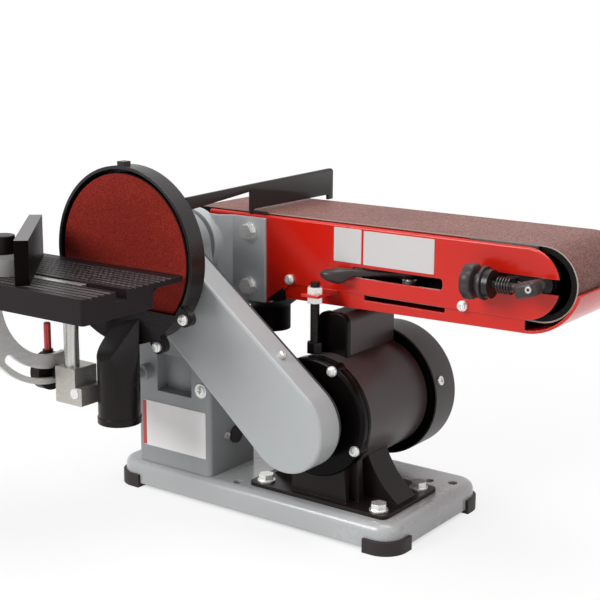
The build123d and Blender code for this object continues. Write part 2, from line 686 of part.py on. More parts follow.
def motor():
    """Casing, wound core, rotor, fan and cowl about one axis, and the capacitor box on top."""
    axis = (MOTOR_X, MOTOR_Z)
    nose = MOTOR_FRONT
    inner = BARREL_RADIUS - BARREL_WALL
    seat = MOTOR_SEAT
    seat_end = seat + BEARING_WIDTH
    groove = nose + BELL_GROOVE_PLACE
    bell = turned_y([
        (ARBOR_RADIUS + GAP, nose), (BELL_RADIUS, nose), (BELL_RADIUS, groove - BELL_GROOVE),
        (BELL_RADIUS - BELL_GROOVE, groove), (BELL_RADIUS, groove + BELL_GROOVE), (BELL_RADIUS, BARREL_FRONT),
        (inner, BARREL_FRONT), (inner, BARREL_FRONT - BARREL_WALL),
        (BEARING_RADIUS + 2 * BARREL_WALL, seat_end),
        (BEARING_RADIUS + SEAT, seat_end), (BEARING_RADIUS + SEAT, seat), (ARBOR_RADIUS + GAP, seat)], *axis)
    rim = bell.faces().sort_by(Axis.Y)[0].edges().sort_by(SortBy.RADIUS)[-1]
    bell = fillet(rim, BELL_ROUND)
    for x, z in tie_places():
        bell += rod_y(TIE_BOSS, nose, BARREL_FRONT, x, z)
    rear_end = REAR_END
    cowl_inner = COWL_RADIUS - COWL_WALL
    flange = rear_end - COWL_SEAT
    rear = turned_y([
        (BEARING_RADIUS + SEAT, BARREL_BACK), (BARREL_RADIUS, BARREL_BACK), (BARREL_RADIUS, flange),
        (cowl_inner - SEAT, flange), (cowl_inner - SEAT, rear_end), (ARBOR_RADIUS + GAP, rear_end),
        (ARBOR_RADIUS + GAP, rear_end - BEARING_INSET),
        (BEARING_RADIUS + SEAT, rear_end - BEARING_INSET)], *axis)

    barrel = tube_y(BARREL_RADIUS, inner, BARREL_FRONT, BARREL_BACK, *axis)
    core_middle = (BARREL_FRONT + BARREL_BACK) / 2
    core = (core_middle - CORE_LENGTH / 2, core_middle + CORE_LENGTH / 2)
    stator = tube_y(inner - SEAT, CORE_RADIUS + STATOR_GAP, *core, *axis)
    fan_front = rear_end + BARREL_WALL
    fan_back = fan_front + FAN_WIDTH
    rotor = rod_y(CORE_RADIUS, *core, *axis) + rod_y(ARBOR_RADIUS, PULLEY_PLACE, fan_back, *axis)
    fan = tube_y(FAN_HUB, ARBOR_RADIUS + SEAT, fan_front, fan_back, *axis)
    for i in range(FAN_BLADES):
        thick = (-FAN_BLADE / 2, FAN_BLADE / 2)
        blade = block((FAN_HUB - FAN_BLADE, FAN_RADIUS), (fan_front, fan_back), thick)
        fan += Pos(MOTOR_X, 0, MOTOR_Z) * Rot(0, i * 360 / FAN_BLADES, 0) * blade

    cowl_back = COWL_FRONT + COWL_LENGTH
    cowl = rod_y(COWL_RADIUS, COWL_FRONT, cowl_back, *axis)
    cowl = fillet(cowl.faces().sort_by(Axis.Y)[-1].edges(), COWL_EDGE)
    hollow = rod_y(cowl_inner, COWL_FRONT, cowl_back - COWL_WALL, *axis)
    cowl -= fillet(hollow.faces().sort_by(Axis.Y)[-1].edges(), COWL_EDGE - COWL_WALL)
    for i in range(COWL_SLOTS):
        slit = block((COWL_SLOT_INNER, COWL_SLOT_OUTER), (cowl_back - 2 * COWL_WALL, cowl_back),
                     (-COWL_SLOT / 2, COWL_SLOT / 2))
        cowl -= Pos(MOTOR_X, 0, MOTOR_Z) * Rot(0, i * 360 / COWL_SLOTS, 0) * slit

    def box_part(grow, y0, y1):
        body = block((MOTOR_X - BOX_WIDTH / 2 - grow, MOTOR_X + BOX_WIDTH / 2 + grow), (y0, y1),
                     (MOTOR_Z, BOX_TOP - BOX_LIP + grow))
        return fillet(body.faces().sort_by(Axis.Z)[-1].edges().filter_by(Axis.Y), BOX_EDGE + grow)

    box_join = BOX_FRONT + BOX_CAP
    box_back = BOX_FRONT + BOX_LENGTH
    box = box_part(0, box_join, box_back) - rod_y(BARREL_RADIUS, box_join, box_back, *axis)
    cap = box_part(BOX_LIP, BOX_FRONT, box_join)
    cap = fillet(cap.faces().sort_by(Axis.Y)[0].edges(), BOX_LIP)
    cap -= rod_y(BARREL_RADIUS, BOX_FRONT, box_join, *axis)
    return {"motor_front_bell": bell, "motor_rear_bell": rear, "motor_barrel": barrel,
            "motor_stator": stator, "motor_rotor": rotor, "cooling_fan": fan, "fan_cowl": cowl,
            "capacitor_box": box, "capacitor_cap": cap}


def pulley(x, z):
    """A pulley with one V groove."""
    y0, y1 = PULLEY_PLACE, PULLEY_PLACE + PULLEY_WIDTH
    middle = (y0 + y1) / 2
    flank = tan(radians(GROOVE_HALF_ANGLE))
    mouth = VBELT_WIDTH / 2 + SLIDE
    root = mouth - GROOVE_DEPTH * flank
    bore = ARBOR_RADIUS + SEAT
    deep = PULLEY_RADIUS - GROOVE_DEPTH
    return turned_y([(bore, y0), (PULLEY_RADIUS, y0), (PULLEY_RADIUS, middle - mouth), (deep, middle - root),
                     (deep, middle + root), (PULLEY_RADIUS, middle + mouth),
                     (PULLEY_RADIUS, y1), (bore, y1)], x, z)


def along_drive(radius):
    """The outline of a belt or a cover round both pulleys, drawn in X and Z."""
    middle = Pos(MOTOR_X / 2, MOTOR_Z / 2) * Rot(0, 0, COVER_ANGLE)
    return middle * SlotCenterToCenter(PULLEY_CENTRES, 2 * radius)


def cover_outline(inset):
    """The cover's outline: a wide round about the motor's pulley and a lower, smaller one at the arbor."""
    upper = Pos(0, -COVER_TOP_DROP) * Circle(COVER_TOP_RADIUS - inset)
    lower = Pos(PULLEY_CENTRES, 0) * Circle(COVER_RADIUS - inset)
    return Rot(0, 0, COVER_ANGLE) * make_hull((upper + lower).edges())


def belt_drive():
    """Two equal pulleys, the V belt round them and the cover over them."""
    middle = PULLEY_PLACE + PULLEY_WIDTH / 2
    outer = PULLEY_RADIUS - SLIDE
    inner = outer - VBELT_DEPTH
    narrow = VBELT_WIDTH / 2 - VBELT_DEPTH * tan(radians(GROOVE_HALF_ANGLE))
    path = (Pos(0, middle, 0) * (Plane.XZ * along_drive((outer + inner) / 2))).face().outer_wire()
    half = (outer - inner) / 2
    section = outline((-VBELT_WIDTH / 2, half), (VBELT_WIDTH / 2, half), (narrow, -half), (-narrow, -half))
    inward = Plane(path @ 0, x_dir=(0, 1, 0), z_dir=path % 0)
    centre = Vector(MOTOR_X / 2, middle, MOTOR_Z / 2)
    if inward.y_dir.dot((path @ 0) - centre) < 0:
        section = section.mirror(Plane.XZ)
    belt = sweep(inward * section, path)

    cover = slab_y(cover_outline(0), COVER_FRONT, COVER_BACK)
    cover = fillet(cover.faces().sort_by(Axis.Y)[0].edges(), COVER_EDGE)
    cover -= slab_y(cover_outline(COVER_WALL), COVER_FRONT + COVER_WALL, COVER_BACK)
    cover -= rod_y(DISC_HUB_RADIUS + 2 * GAP, COVER_FRONT, COVER_FRONT + COVER_WALL)
    rim_front = COVER_BACK - COVER_LAP
    sheet_front = PEDESTAL_FRONT - BACK_SHEET
    tray = slab_y(cover_outline(COVER_WALL + SEAT), rim_front, PEDESTAL_FRONT)
    tray -= slab_y(cover_outline(2 * COVER_WALL), rim_front, sheet_front)
    for x, z in ((0, 0), (MOTOR_X, MOTOR_Z)):
        tray -= rod_y(BEARING_RADIUS, sheet_front, PEDESTAL_FRONT, x, z)
    for x, z in standoff_places():
        relief = rod_y(STANDOFF_RADIUS + GAP, COVER_FRONT, PEDESTAL_FRONT, x, z)
        cover -= relief
        tray -= relief
    screws = Part()
    for along, side in COVER_SCREWS:
        start = COVER_TOP_RADIUS - side * COVER_TOP_DROP
        reach = start + (COVER_RADIUS - start) * along / PULLEY_CENTRES
        limits = sorted((side * (reach - 2 * COVER_WALL), side * (reach + TIE_HEIGHT)))
        middle_y = (COVER_FRONT + COVER_BACK) / 2
        screws += Rot(0, -COVER_ANGLE, 0) * rod_z(COVER_SCREW, *limits, along, middle_y)
        cover -= Rot(0, -COVER_ANGLE, 0) * rod_z(COVER_SCREW + SEAT, *limits, along, middle_y)
    for x, z in tie_places():
        screws += screw_y(x, z, MOTOR_FRONT, TIE_HEAD, TIE_HEIGHT)
    return {"arbor_pulley": pulley(0, 0), "motor_pulley": pulley(MOTOR_X, MOTOR_Z), "drive_belt": belt,
            "pulley_cover": cover, "cover_back_plate": tray, "casing_screws": screws}


def arbor():
    """The shaft in its two bearings, with the disc at the front and the drive drum behind."""
    face = DISC_RECESS + ABRASIVE
    hub_end = face + DISC_PLATE + DISC_HUB
    plate = rod_y(DISC_RADIUS, face, face + DISC_PLATE) + rod_y(DISC_HUB_RADIUS, face + DISC_PLATE, hub_end)
    plate = chamfer(plate.faces().sort_by(Axis.Y)[0].edges(), GAP)
    plate -= rod_y(ARBOR_RADIUS + SEAT, face + DISC_PLATE / 2, hub_end)
    paper = rod_y(DISC_RADIUS - GAP, DISC_RECESS, face)
    shaft = rod_y(ARBOR_RADIUS, face + DISC_PLATE / 2, BELT_FAR)
    return {"disc_plate": plate, "abrasive_disc": paper, "arbor_shaft": shaft,
            "drive_drum": drum(0, ARBOR_RADIUS + SEAT)}


def ball_bearings():
    """Two bearings on the arbor and two on the motor's shaft."""
    bearings = Part()
    for places, x, z in ((BEARING_PLACES, 0, 0), (MOTOR_BEARING_PLACES, MOTOR_X, MOTOR_Z)):
        for y in places:
            bearings += tube_y(BEARING_RADIUS, ARBOR_RADIUS + RUN, y, y + BEARING_WIDTH, x, z)
    return {"ball_bearings": bearings}


def drum(x, bore):
    """A belt drum: a rim on two webs and a hub."""
    y0, y1 = BELT_NEAR + IDLER_MARGIN, BELT_FAR - IDLER_MARGIN
    rim = tube_y(DRUM_RADIUS, DRUM_RADIUS - DRUM_RIM, y0, y1, x)
    hub = rod_y(DRUM_HUB, y0, y1, x)
    web = rod_y(DRUM_RADIUS - DRUM_RIM / 2, y0 + DRUM_WEB, y1 - DRUM_WEB, x)
    return rim + hub + web - rod_y(bore, y0, y1, x)


def ear_places():
    reach = GUARD_RADIUS + EAR_REACH
    return [(reach * cos(radians(a)), reach * sin(radians(a))) for a in EAR_ANGLES]


def disc_guard():
    """The ring round the disc, with its back wall, and the dust shroud below the table."""
    guard = rod_y(GUARD_RADIUS, 0, GUARD_DEPTH)
    guard -= rod_y(GUARD_RADIUS - GUARD_WALL, 0, GUARD_DEPTH - GUARD_WALL)
    guard = chamfer(guard.faces().sort_by(Axis.Y)[-1].edges(), GUARD_WALL / 2)
    guard -= rod_y(GUARD_HOLE, 0, GUARD_DEPTH)
    width, rise, depth = GUARD_TAB
    guard += block((-width / 2, width / 2), (0, depth), (GUARD_RADIUS - GUARD_WALL, GUARD_RADIUS + rise))
    below = block((-GUARD_RADIUS, GUARD_RADIUS), (-SHROUD_WALL, 0), (-GUARD_RADIUS, -SHROUD_DROP))
    shroud = rod_y(GUARD_RADIUS, -SHROUD_WALL, 0) & below
    screws = Part()
    inside = rod_y(GUARD_RADIUS - GUARD_WALL, 0, GUARD_DEPTH - GUARD_WALL)
    for angle, (x, z) in zip(EAR_ANGLES, ear_places()):
        def ear(y0, y1):
            length = (GUARD_RADIUS - GUARD_WALL, GUARD_RADIUS + EAR_REACH)
            neck = block(length, (y0, y1), (-EAR_RADIUS, EAR_RADIUS))
            return Rot(0, -angle, 0) * neck + rod_y(EAR_RADIUS, y0, y1, x, z)

        guard += ear(0, EAR_DEPTH) - inside
        shroud += ear(-SHROUD_WALL, 0)
        screws += screw_y(x, z, -SHROUD_WALL, TIE_HEAD, TIE_HEIGHT)
    for x, z in standoff_places():
        guard -= rod_y(GUARD_SCREW + SEAT, 0, GUARD_DEPTH, x, z)
        inside, into = GUARD_DEPTH - GUARD_WALL, GUARD_WALL + GUARD_SCREW
        screws += screw_y(x, z, inside, 2 * GUARD_SCREW, GUARD_SCREW, into)

    shroud += dust_hood(0) + rod_z(PORT_RADIUS, -PORT_BOTTOM, -HOOD_BOTTOM, PORT_X, PORT_Y)
    lip = rod_z(PORT_RADIUS + PORT_LIP, -PORT_BOTTOM, -PORT_BOTTOM + PORT_LIP_HEIGHT, PORT_X, PORT_Y)
    shroud += lip
    shroud -= dust_hood(SHROUD_WALL) + rod_y(GUARD_RADIUS, 0, GUARD_DEPTH)
    shroud -= rod_z(PORT_BORE, -PORT_BOTTOM, -HOOD_BOTTOM, PORT_X, PORT_Y)
    return {"disc_guard": guard, "dust_shroud": shroud, "shroud_screws": screws}


def dust_hood(inset):
    """A faceted hood from a narrow ridge at the shroud down to the round dust port."""
    across, deep = HOOD_RIDGE
    wide = 2 * PORT_RADIUS
    ridge_y = -deep / 2
    top = Pos(HOOD_RIDGE_X, ridge_y, -HOOD_TOP - 2 * inset) * Rectangle(across - inset, deep - inset)
    low = Pos(PORT_X, PORT_Y, -HOOD_BOTTOM) * Rectangle(wide - 2 * inset, wide - 2 * inset)
    return loft([low, top])


def belt_arm():
    """The red frame that carries the belt, its lower guard and the bracket that turns on the housing."""
    high = ARM_HALF_HEIGHT
    end = ARM_ROUND_X
    left = ARM_SKIRT_LEFT
    side = outline((ARM_LEFT, high), (end, high), (end, -high), (ARM_SKIRT_END + ARM_SKIRT_RUN, -high),
                   (ARM_SKIRT_END, -ARM_SKIRT), (left, -ARM_SKIRT), (left, ARM_NOSE_LOW),
                   (ARM_LEFT, ARM_NOSE_LOW))
    side += Pos(end, 0) * Circle(high)
    side -= Pos(LEVER_X, -LEVER_DROP) * RectangleRounded(2 * lever_slot_half(), LEVER_SLOT, LEVER_SLOT / 3)
    slot_left = IDLER_X - AXLE_SLOT_RUN
    side -= Pos(slot_left + AXLE_SLOT_RUN, 0) * Rectangle(2 * AXLE_SLOT_RUN, AXLE_SLOT)
    frame = slab_y(side, ARM_FACE, ARM_BACK)
    frame += block((left, PLATEN_RIGHT), (ARM_FACE, BELT_FAR), (high - ARM_SHEET, high))
    frame += block((left, PLATEN_RIGHT), (BELT_FAR - ARM_SHEET, BELT_FAR), (high - PLATEN_LIP, high))
    frame += block((ARM_LEFT, left), (ARM_FACE, BELT_NEAR - GAP), (high - ARM_SHEET, high))
    bend = frame.edges().filter_by(Axis.X).group_by(Axis.Z)[-1].sort_by(Axis.Y)[0]
    frame = fillet(bend, ARM_BEND)
    frame += block((REST_X - REST_TAB, REST_X + REST_TAB), (REST_Y - REST_TAB, ARM_BACK), (REST_TAB_Z, -high))
    frame -= rod_z(REST_RADIUS + SEAT, REST_TAB_Z, -high, REST_X, REST_Y)

    near = (ARM_BACK, ARM_BACK + ARM_SHEET)
    far = (BELT_FAR + 2 * ARM_SHEET, BELT_FAR + 3 * ARM_SHEET)
    pan_left = (LOWER_GUARD_LEFT, -LOWER_GUARD_DROP)
    pan_right = (end, -LOWER_GUARD_END_DROP)

    def above(point, rise):
        return point[0], point[1] + rise

    pan = outline(pan_left, pan_right, above(pan_right, ARM_SHEET), above(pan_left, ARM_SHEET))
    curl = Pos(*above(pan_right, CURL_RADIUS)) * sector(CURL_RADIUS - ARM_SHEET, CURL_RADIUS, -90, CURL_END)
    guard = slab_y(pan, near[0], far[1]) + slab_y(curl, near[0], far[1])
    skirt = outline(pan_left, pan_right, (end, -LOWER_GUARD_TOP), (LOWER_GUARD_LEFT, -LOWER_GUARD_TOP))
    guard += slab_y(skirt, *near) + slab_y(skirt, *far)
    vent = Pos(VENT_LEFT + VENT_LENGTH / 2, -high - VENT_HEIGHT / 2) * RectangleRounded(
        VENT_LENGTH, VENT_HEIGHT, VENT_HEIGHT / 3)
    guard -= slab_y(vent, *near)

    flange = (ARM_FACE - BRACKET_SHEET, ARM_FACE)
    plate = (flange[0] - BRACKET_STEP, flange[1] - BRACKET_STEP)
    joggle = left - BRACKET_JOGGLE
    bracket = block((left, left + BRACKET_FLANGE), flange, (-ARM_SKIRT, BRACKET_TOP))
    bracket += slab_z(outline((left, flange[0]), (left, flange[1]), (joggle, plate[1]), (joggle, plate[0])),
                      -ARM_SKIRT, BRACKET_TOP)
    bracket += block((0, joggle), plate, (-BRACKET_HUB, BRACKET_TOP))
    bracket += rod_y(BRACKET_HUB, plate[1] - BRACKET_HUB_LENGTH, plate[1])
    bracket -= rod_y(HOUSING_RADIUS + RUN, plate[1] - BRACKET_HUB_LENGTH, plate[1])

    bolts = Part()
    for z in BRACKET_BOLT_Z:
        x = left + BRACKET_BOLT_INSET
        bracket -= rod_y(BOLT_RADIUS + SEAT, *flange, x, z)
        frame -= rod_y(BOLT_RADIUS + SEAT, ARM_FACE, ARM_BACK, x, z)
        seat = flange[0] - WASHER
        bolts += rod_y(WASHER_RADIUS, seat, flange[0], x, z) + rod_y(BOLT_RADIUS, flange[0], ARM_BACK, x, z)
        bolts += slab_y(Pos(x, z) * hexagon(BOLT_HEX), seat - BOLT_HEAD, seat)
    for x, z in GUARD_SCREWS:
        bolts += screw_y(x, z, ARM_FACE, TIE_HEAD, TIE_HEIGHT)
    return {"arm_frame": frame, "arm_guard": guard, "arm_bracket": bracket, "arm_bolts": bolts}


def lever_slot_half():
    """Half the slot that the tension lever swings in, from its reach at the plate's front face."""
    angle = radians(LEVER_ANGLE)
    return (LEVER_PIVOT + ARM_SHEET) * tan(angle) + LEVER_BLADE / 2 / cos(angle) + GAP


def sanding_belt():
    """The endless belt round both drums."""
    middle = Pos(IDLER_X / 2, 0)
    loop = middle * SlotCenterToCenter(IDLER_X, 2 * BELT_OUTER)
    loop -= middle * SlotCenterToCenter(IDLER_X, 2 * BELT_INNER)
    return {"sanding_belt": slab_y(loop, BELT_NEAR, BELT_FAR)}


def belt_dust_port():
    """The scoop under the drive drum, down to a round dust port."""
    right = LOWER_GUARD_LEFT
    middle_x = right - SCOOP_LENGTH / 2
    near, far = ARM_BACK, BELT_FAR
    middle_y = (near + far) / 2
    collar = -SCOOP_TOP - SCOOP_COLLAR
    neck = collar - SCOOP_DEPTH

    def funnel(inset, radius, bottom):
        length, width = SCOOP_LENGTH - 2 * inset, far - near - 2 * inset
        mouth = Pos(middle_x, middle_y) * Rectangle(length, width)
        body = slab_z(mouth, collar, -SCOOP_TOP)
        body += loft([Pos(0, 0, collar) * mouth, Pos(BELT_PORT_X, middle_y, neck) * Circle(radius)])
        return body + rod_z(radius, bottom, neck, BELT_PORT_X, middle_y)

    bottom = -BELT_PORT_BOTTOM
    port = funnel(0, BELT_PORT_RADIUS, bottom) - funnel(SCOOP_WALL, BELT_PORT_BORE, bottom)
    return {"belt_dust_port": port}


def work_stop():
    """The stop plate across the belt, standing on the arm's near edge."""
    foot, over = ARM_HALF_HEIGHT, BELT_OUTER + STOP_LIFT
    near = BELT_NEAR - GAP
    leg = STOP_FAR - STOP_SLOT_END
    sheet = outline((STOP_NEAR, STOP_TOP), (STOP_FAR, STOP_TOP), (STOP_FAR, over - STOP_SLOT),
                    (leg, over - STOP_SLOT),
                    (leg, over), (near, over), (near, foot), (ARM_FACE, foot),
                    (ARM_FACE, STOP_TOP - STOP_TONGUE), (STOP_NEAR, STOP_TOP - STOP_TONGUE))
    hinge = Pos(STOP_X, ARM_FACE, 0)
    plate = hinge * Rot(0, 0, STOP_SWING) * hinge.inverse() * slab_x(sheet, STOP_X - STOP_SHEET, STOP_X)
    ledge = (STOP_X - STOP_SHEET / 2, STOP_X + STOP_FOOT)
    plate += block(ledge, (ARM_FACE + ARM_BEND, near), (foot, foot + STOP_SHEET))
    return {"work_stop": plate}


def rest_bolt():
    """An upturned bolt locked in the arm's tab by two nuts, its head resting on the motor."""
    reach = MOTOR_X - REST_X - REST_HEX / cos(radians(30))
    head = MOTOR_Z + sqrt(BARREL_RADIUS ** 2 - reach ** 2) + SLIDE
    flats = Pos(REST_X, REST_Y) * hexagon(REST_HEX)
    bolt = slab_z(flats, head, head + REST_HEAD)
    bolt += rod_z(REST_RADIUS, head + REST_HEAD, -REST_TOP, REST_X, REST_Y)
    nuts = Part()
    for low in (REST_TAB_Z - REST_NUT, REST_TAB_Z + ARM_SHEET):
        nuts += slab_z(flats, low, low + REST_NUT)
        nuts -= rod_z(REST_RADIUS + SEAT, low, low + REST_NUT, REST_X, REST_Y)
    return {"rest_bolt": bolt, "rest_nuts": nuts}


def tension_lever():
    """The lever that swings in the arm's long slot, on a pin under the platen."""
    pivot_y = ARM_BACK + LEVER_PIVOT
    middle = -LEVER_DROP
    half = LEVER_HUB_HEIGHT / 2
    neck = LEVER_NECK / 2
    paddle = LEVER_PADDLE / 2
    thin, wide = LEVER_TAPER
    blade = outline((0, neck), (-thin, neck), (-wide, paddle), (-LEVER_LENGTH, paddle),
                    (-LEVER_LENGTH, -paddle), (-wide, -paddle), (-thin, -neck), (0, -neck))
    arm = slab_x(blade, -LEVER_BLADE / 2, LEVER_BLADE / 2)
    tip = arm.edges().filter_by(Axis.X).group_by(Axis.Y)[0]
    arm = fillet(tip, LEVER_TIP)
    lever = rod_z(LEVER_HUB, -half, half) + arm - rod_z(LEVER_PIN + RUN, -half, half)
    lever = Pos(LEVER_X, pivot_y, middle) * Rot(0, 0, -LEVER_ANGLE) * lever
    below = middle - half - SLIDE
    pin = rod_z(LEVER_PIN, below, ARM_HALF_HEIGHT - ARM_SHEET, LEVER_X, pivot_y)
    pin += rod_z(LEVER_PIN_HEAD, below - LEVER_PIN, below, LEVER_X, pivot_y)
    return {"tension_lever": lever, "lever_pin": pin}


def idler():
    """The sliding fork with the idler drum, and the screw and spring that set the belt's tracking."""
    near = (ARM_BACK + SLIDE, ARM_BACK + SLIDE + FORK_SHEET)
    far = (BELT_FAR + GAP, BELT_FAR + GAP + FORK_SHEET)
    back = IDLER_X - FORK_BACK
    high = (-FORK_HALF_HEIGHT, FORK_HALF_HEIGHT)
    cheek = outline((back, high[0]), (IDLER_X, high[0]), (IDLER_X, high[1]), (back, high[1]))
    cheek += Pos(IDLER_X, 0) * Circle(FORK_HALF_HEIGHT)
    cheek -= Pos(IDLER_X, 0) * Circle(AXLE_RADIUS + SEAT)
    fork = slab_y(cheek, *near) + slab_y(cheek, *far)
    fork += block((back, back + FORK_BEAM), (near[0], far[1]), high)
    fork += rod_x(FORK_ROD, FORK_ROD_END, back, ARM_BACK + LEVER_PIVOT, FORK_ROD - FORK_HALF_HEIGHT)

    outside = (ARM_FACE - GAP - FORK_SHEET, ARM_FACE - GAP)
    slim = (-FORK_ROD, FORK_ROD)
    collar = (SPRING_LEFT - TRACK_COLLAR_LENGTH, SPRING_LEFT)
    bridge = IDLER_X - 2 * FORK_BEAM
    fork += block((collar[0], bridge), outside, slim)
    fork += block((bridge - FORK_BEAM, bridge), (outside[0], near[1]), slim)
    fork += rod_x(TRACK_COLLAR, *collar, TRACK_Y) + block(collar, (TRACK_Y, outside[1]), slim)
    fork -= rod_x(TRACK_SCREW + RUN, *collar, TRACK_Y)

    axle_end = TRACK_Y + TRACK_SCREW + GAP
    axle = rod_y(AXLE_RADIUS, axle_end, far[1], IDLER_X)
    length, depth, height = TRACK_BLOCK
    nut = Pos(IDLER_X, TRACK_Y, 0) * Box(length, depth, height)
    nut = fillet(nut.edges().filter_by(Axis.Y), 2 * GAP)
    screw_end = IDLER_X + length / 4
    nut -= rod_x(TRACK_SCREW + RUN, SPRING_RIGHT, screw_end + GAP, TRACK_Y)
    nut -= rod_y(AXLE_RADIUS + SEAT, axle_end, TRACK_Y + depth / 2, IDLER_X)

    knob_right = collar[0] - SLIDE
    grip = Circle(TRACK_KNOB)
    for i in range(TRACK_KNOB_FLUTES):
        grip -= Rot(0, 0, i * 360 / TRACK_KNOB_FLUTES) * Pos(TRACK_KNOB, 0) * Circle(TRACK_FLUTE)
    knob = Pos(0, TRACK_Y, 0) * slab_x(grip, knob_right - TRACK_KNOB_LENGTH, knob_right)
    knob += rod_x(TRACK_SCREW, knob_right, screw_end, TRACK_Y)
    return {"idler_fork": fork, "idler_axle": axle, "tracking_block": nut, "tracking_knob": knob,
            "idler_drum": drum(IDLER_X, AXLE_RADIUS + RUN)}


def biarc(start, along, finish, onward):
    """Two tangent arcs from one point and direction to another."""
    span = finish - start
    both = along + onward
    open_angle = 2 * (1 - along.dot(onward))
    cross = span.dot(both)
    reach = (sqrt(cross * cross + open_angle * span.dot(span)) - cross) / open_angle
    joint = (start + along * reach + finish - onward * reach) * 0.5
    first = TangentArc(start, joint, tangent=along)
    return [first, TangentArc(joint, finish, tangent=first % 1)]


def tracking_spring():
    """The round wire spring on the tracking screw, one tube from end to end."""
    lead = SPRING_WIRE + SPRING_RADIUS / 2
    pitch = (SPRING_LENGTH - 2 * lead) / SPRING_TURNS
    slope = pitch / (2 * pi * SPRING_RADIUS)
    steps = 4 * SPRING_TURNS

    def place(step):
        angle = step * pi / 2
        x = SPRING_LEFT + lead + step * pitch / 4
        return Vector(x, TRACK_Y + SPRING_RADIUS * cos(angle), SPRING_RADIUS * sin(angle))

    def heading(step):
        angle = step * pi / 2
        return Vector(slope, -sin(angle), cos(angle)).normalized()

    ahead = Vector(1, 0, 0)
    tail = Vector(SPRING_WIRE, 0, 0)
    quarter = SPRING_RADIUS / 2
    first = Vector(SPRING_LEFT, TRACK_Y + SPRING_RADIUS, -quarter)
    last = Vector(SPRING_RIGHT, TRACK_Y + SPRING_RADIUS, quarter)
    edges = [Line(first, first + tail)] + biarc(first + tail, ahead, place(0), heading(0))
    for step in range(steps):
        edges += biarc(place(step), heading(step), place(step + 1), heading(step + 1))
    edges += biarc(place(steps), heading(steps), last - tail, ahead) + [Line(last - tail, last)]
    path = Wire(edges)
    wire = sweep(Plane(first, z_dir=ahead) * Circle(SPRING_WIRE / 2), path)

    points = [path @ (i / SPRING_SAMPLES) for i in range(SPRING_SAMPLES + 1)]
    apart = 2 * SPRING_WIRE * SPRING_SAMPLES / path.length
    least = min((points[i] - points[j]).length for i in range(len(points)) for j in range(i) if i - j > apart)
    print("least gap between the spring's turns", round(least - SPRING_WIRE, 2))
    return {"tracking_spring": wire}


def table_support():
    """The bar out of the pedestal, the block that slides on it, its post and the tilt clamp."""
    bar_z = -BAR_DROP
    bar = rod_y(BAR_RADIUS, BLOCK_FRONT, PEDESTAL_FRONT + SOCKET_DEPTH, BAR_X, bar_z)
    depth = (BLOCK_FRONT, BLOCK_BACK)
    right = BLOCK_LEFT + BLOCK_WIDTH
    body = block((BLOCK_LEFT, right), depth, (-BLOCK_BOTTOM, -BLOCK_LEDGE))
    body += block((BLOCK_LEFT, right - BLOCK_STEP), depth, (-BLOCK_LEDGE, -BLOCK_TOP))
    body = chamfer(body.edges().filter_by(Axis.Y), GAP)
    foot = -BLOCK_TOP - POST_SOCKET
    inside = BLOCK_LEFT + BLOCK_STEP
    body -= rod_y(BAR_RADIUS + RUN, *depth, BAR_X, bar_z)
    body -= rod_z(POST_RADIUS + SEAT, foot, -BLOCK_TOP, POST_X, TILT_Y)
    body -= rod_x(CLAMP_RADIUS + SEAT, BLOCK_LEFT, inside, TILT_Y, CLAMP_Z)

    shoulder = TILT_Z - 2 * LUG_RADIUS
    eye = (POST_X - POST_EYE, POST_X + POST_EYE)
    post = rod_z(POST_RADIUS, foot, shoulder, POST_X, TILT_Y)
    post += rod_z(POST_RADIUS, shoulder, TILT_Z, POST_X, TILT_Y) & block(
        eye, (TILT_Y - POST_RADIUS, TILT_Y + POST_RADIUS), (shoulder, TILT_Z))
    post += rod_x(POST_RADIUS, *eye, TILT_Y, TILT_Z)
    post -= rod_x(PIN_RADIUS + RUN, *eye, TILT_Y, TILT_Z)

    hub = (TRUNNION_LEFT - SLIDE - LEVER_HUB_THICK, TRUNNION_LEFT - SLIDE)
    tip = hub[0] - SLIDE - CLAMP_RADIUS
    clamp = rod_x(CLAMP_RADIUS, tip, inside, TILT_Y, CLAMP_Z)
    clamp += rod_x(CLAMP_COLLAR, TRUNNION_X + SLIDE, BLOCK_LEFT, TILT_Y, CLAMP_Z)
    clamp += rod_x(CLAMP_COLLAR, tip, hub[0] - SLIDE, TILT_Y, CLAMP_Z)

    middle = (hub[0] + hub[1]) / 2
    grip_low = CLAMP_Z + LEVER_REACH - GRIP_LENGTH
    lever = rod_x(LEVER_HUB_RADIUS, *hub, TILT_Y, CLAMP_Z)
    lever = fillet(lever.faces().sort_by(Axis.X)[0].edges(), 2 * GAP)
    lever -= rod_x(CLAMP_RADIUS + RUN, *hub, TILT_Y, CLAMP_Z)
    lever += rod_z(LEVER_ARM, CLAMP_Z + LEVER_HUB_RADIUS - LEVER_ARM, grip_low, middle, TILT_Y)
    grip = rod_z(GRIP_RADIUS, grip_low, grip_low + GRIP_LENGTH, middle, TILT_Y)
    grip = fillet(grip.faces().sort_by(Axis.Z)[-1].edges(), GRIP_RADIUS / 2)
    return {"table_bar": bar, "table_block": body, "table_post": post, "clamp_bolt": clamp,
            "tilt_lever": lever, "tilt_lever_grip": grip}


def sector(inner, outer, start, end):
    """A part of a ring between two angles."""
    far = 2 * outer
    rays = [radians(start + (end - start) * i / 2) for i in range(3)]
    wedge = outline((0, 0), *[(far * cos(a), far * sin(a)) for a in rays])
    return (Circle(outer) - Circle(inner)) & wedge


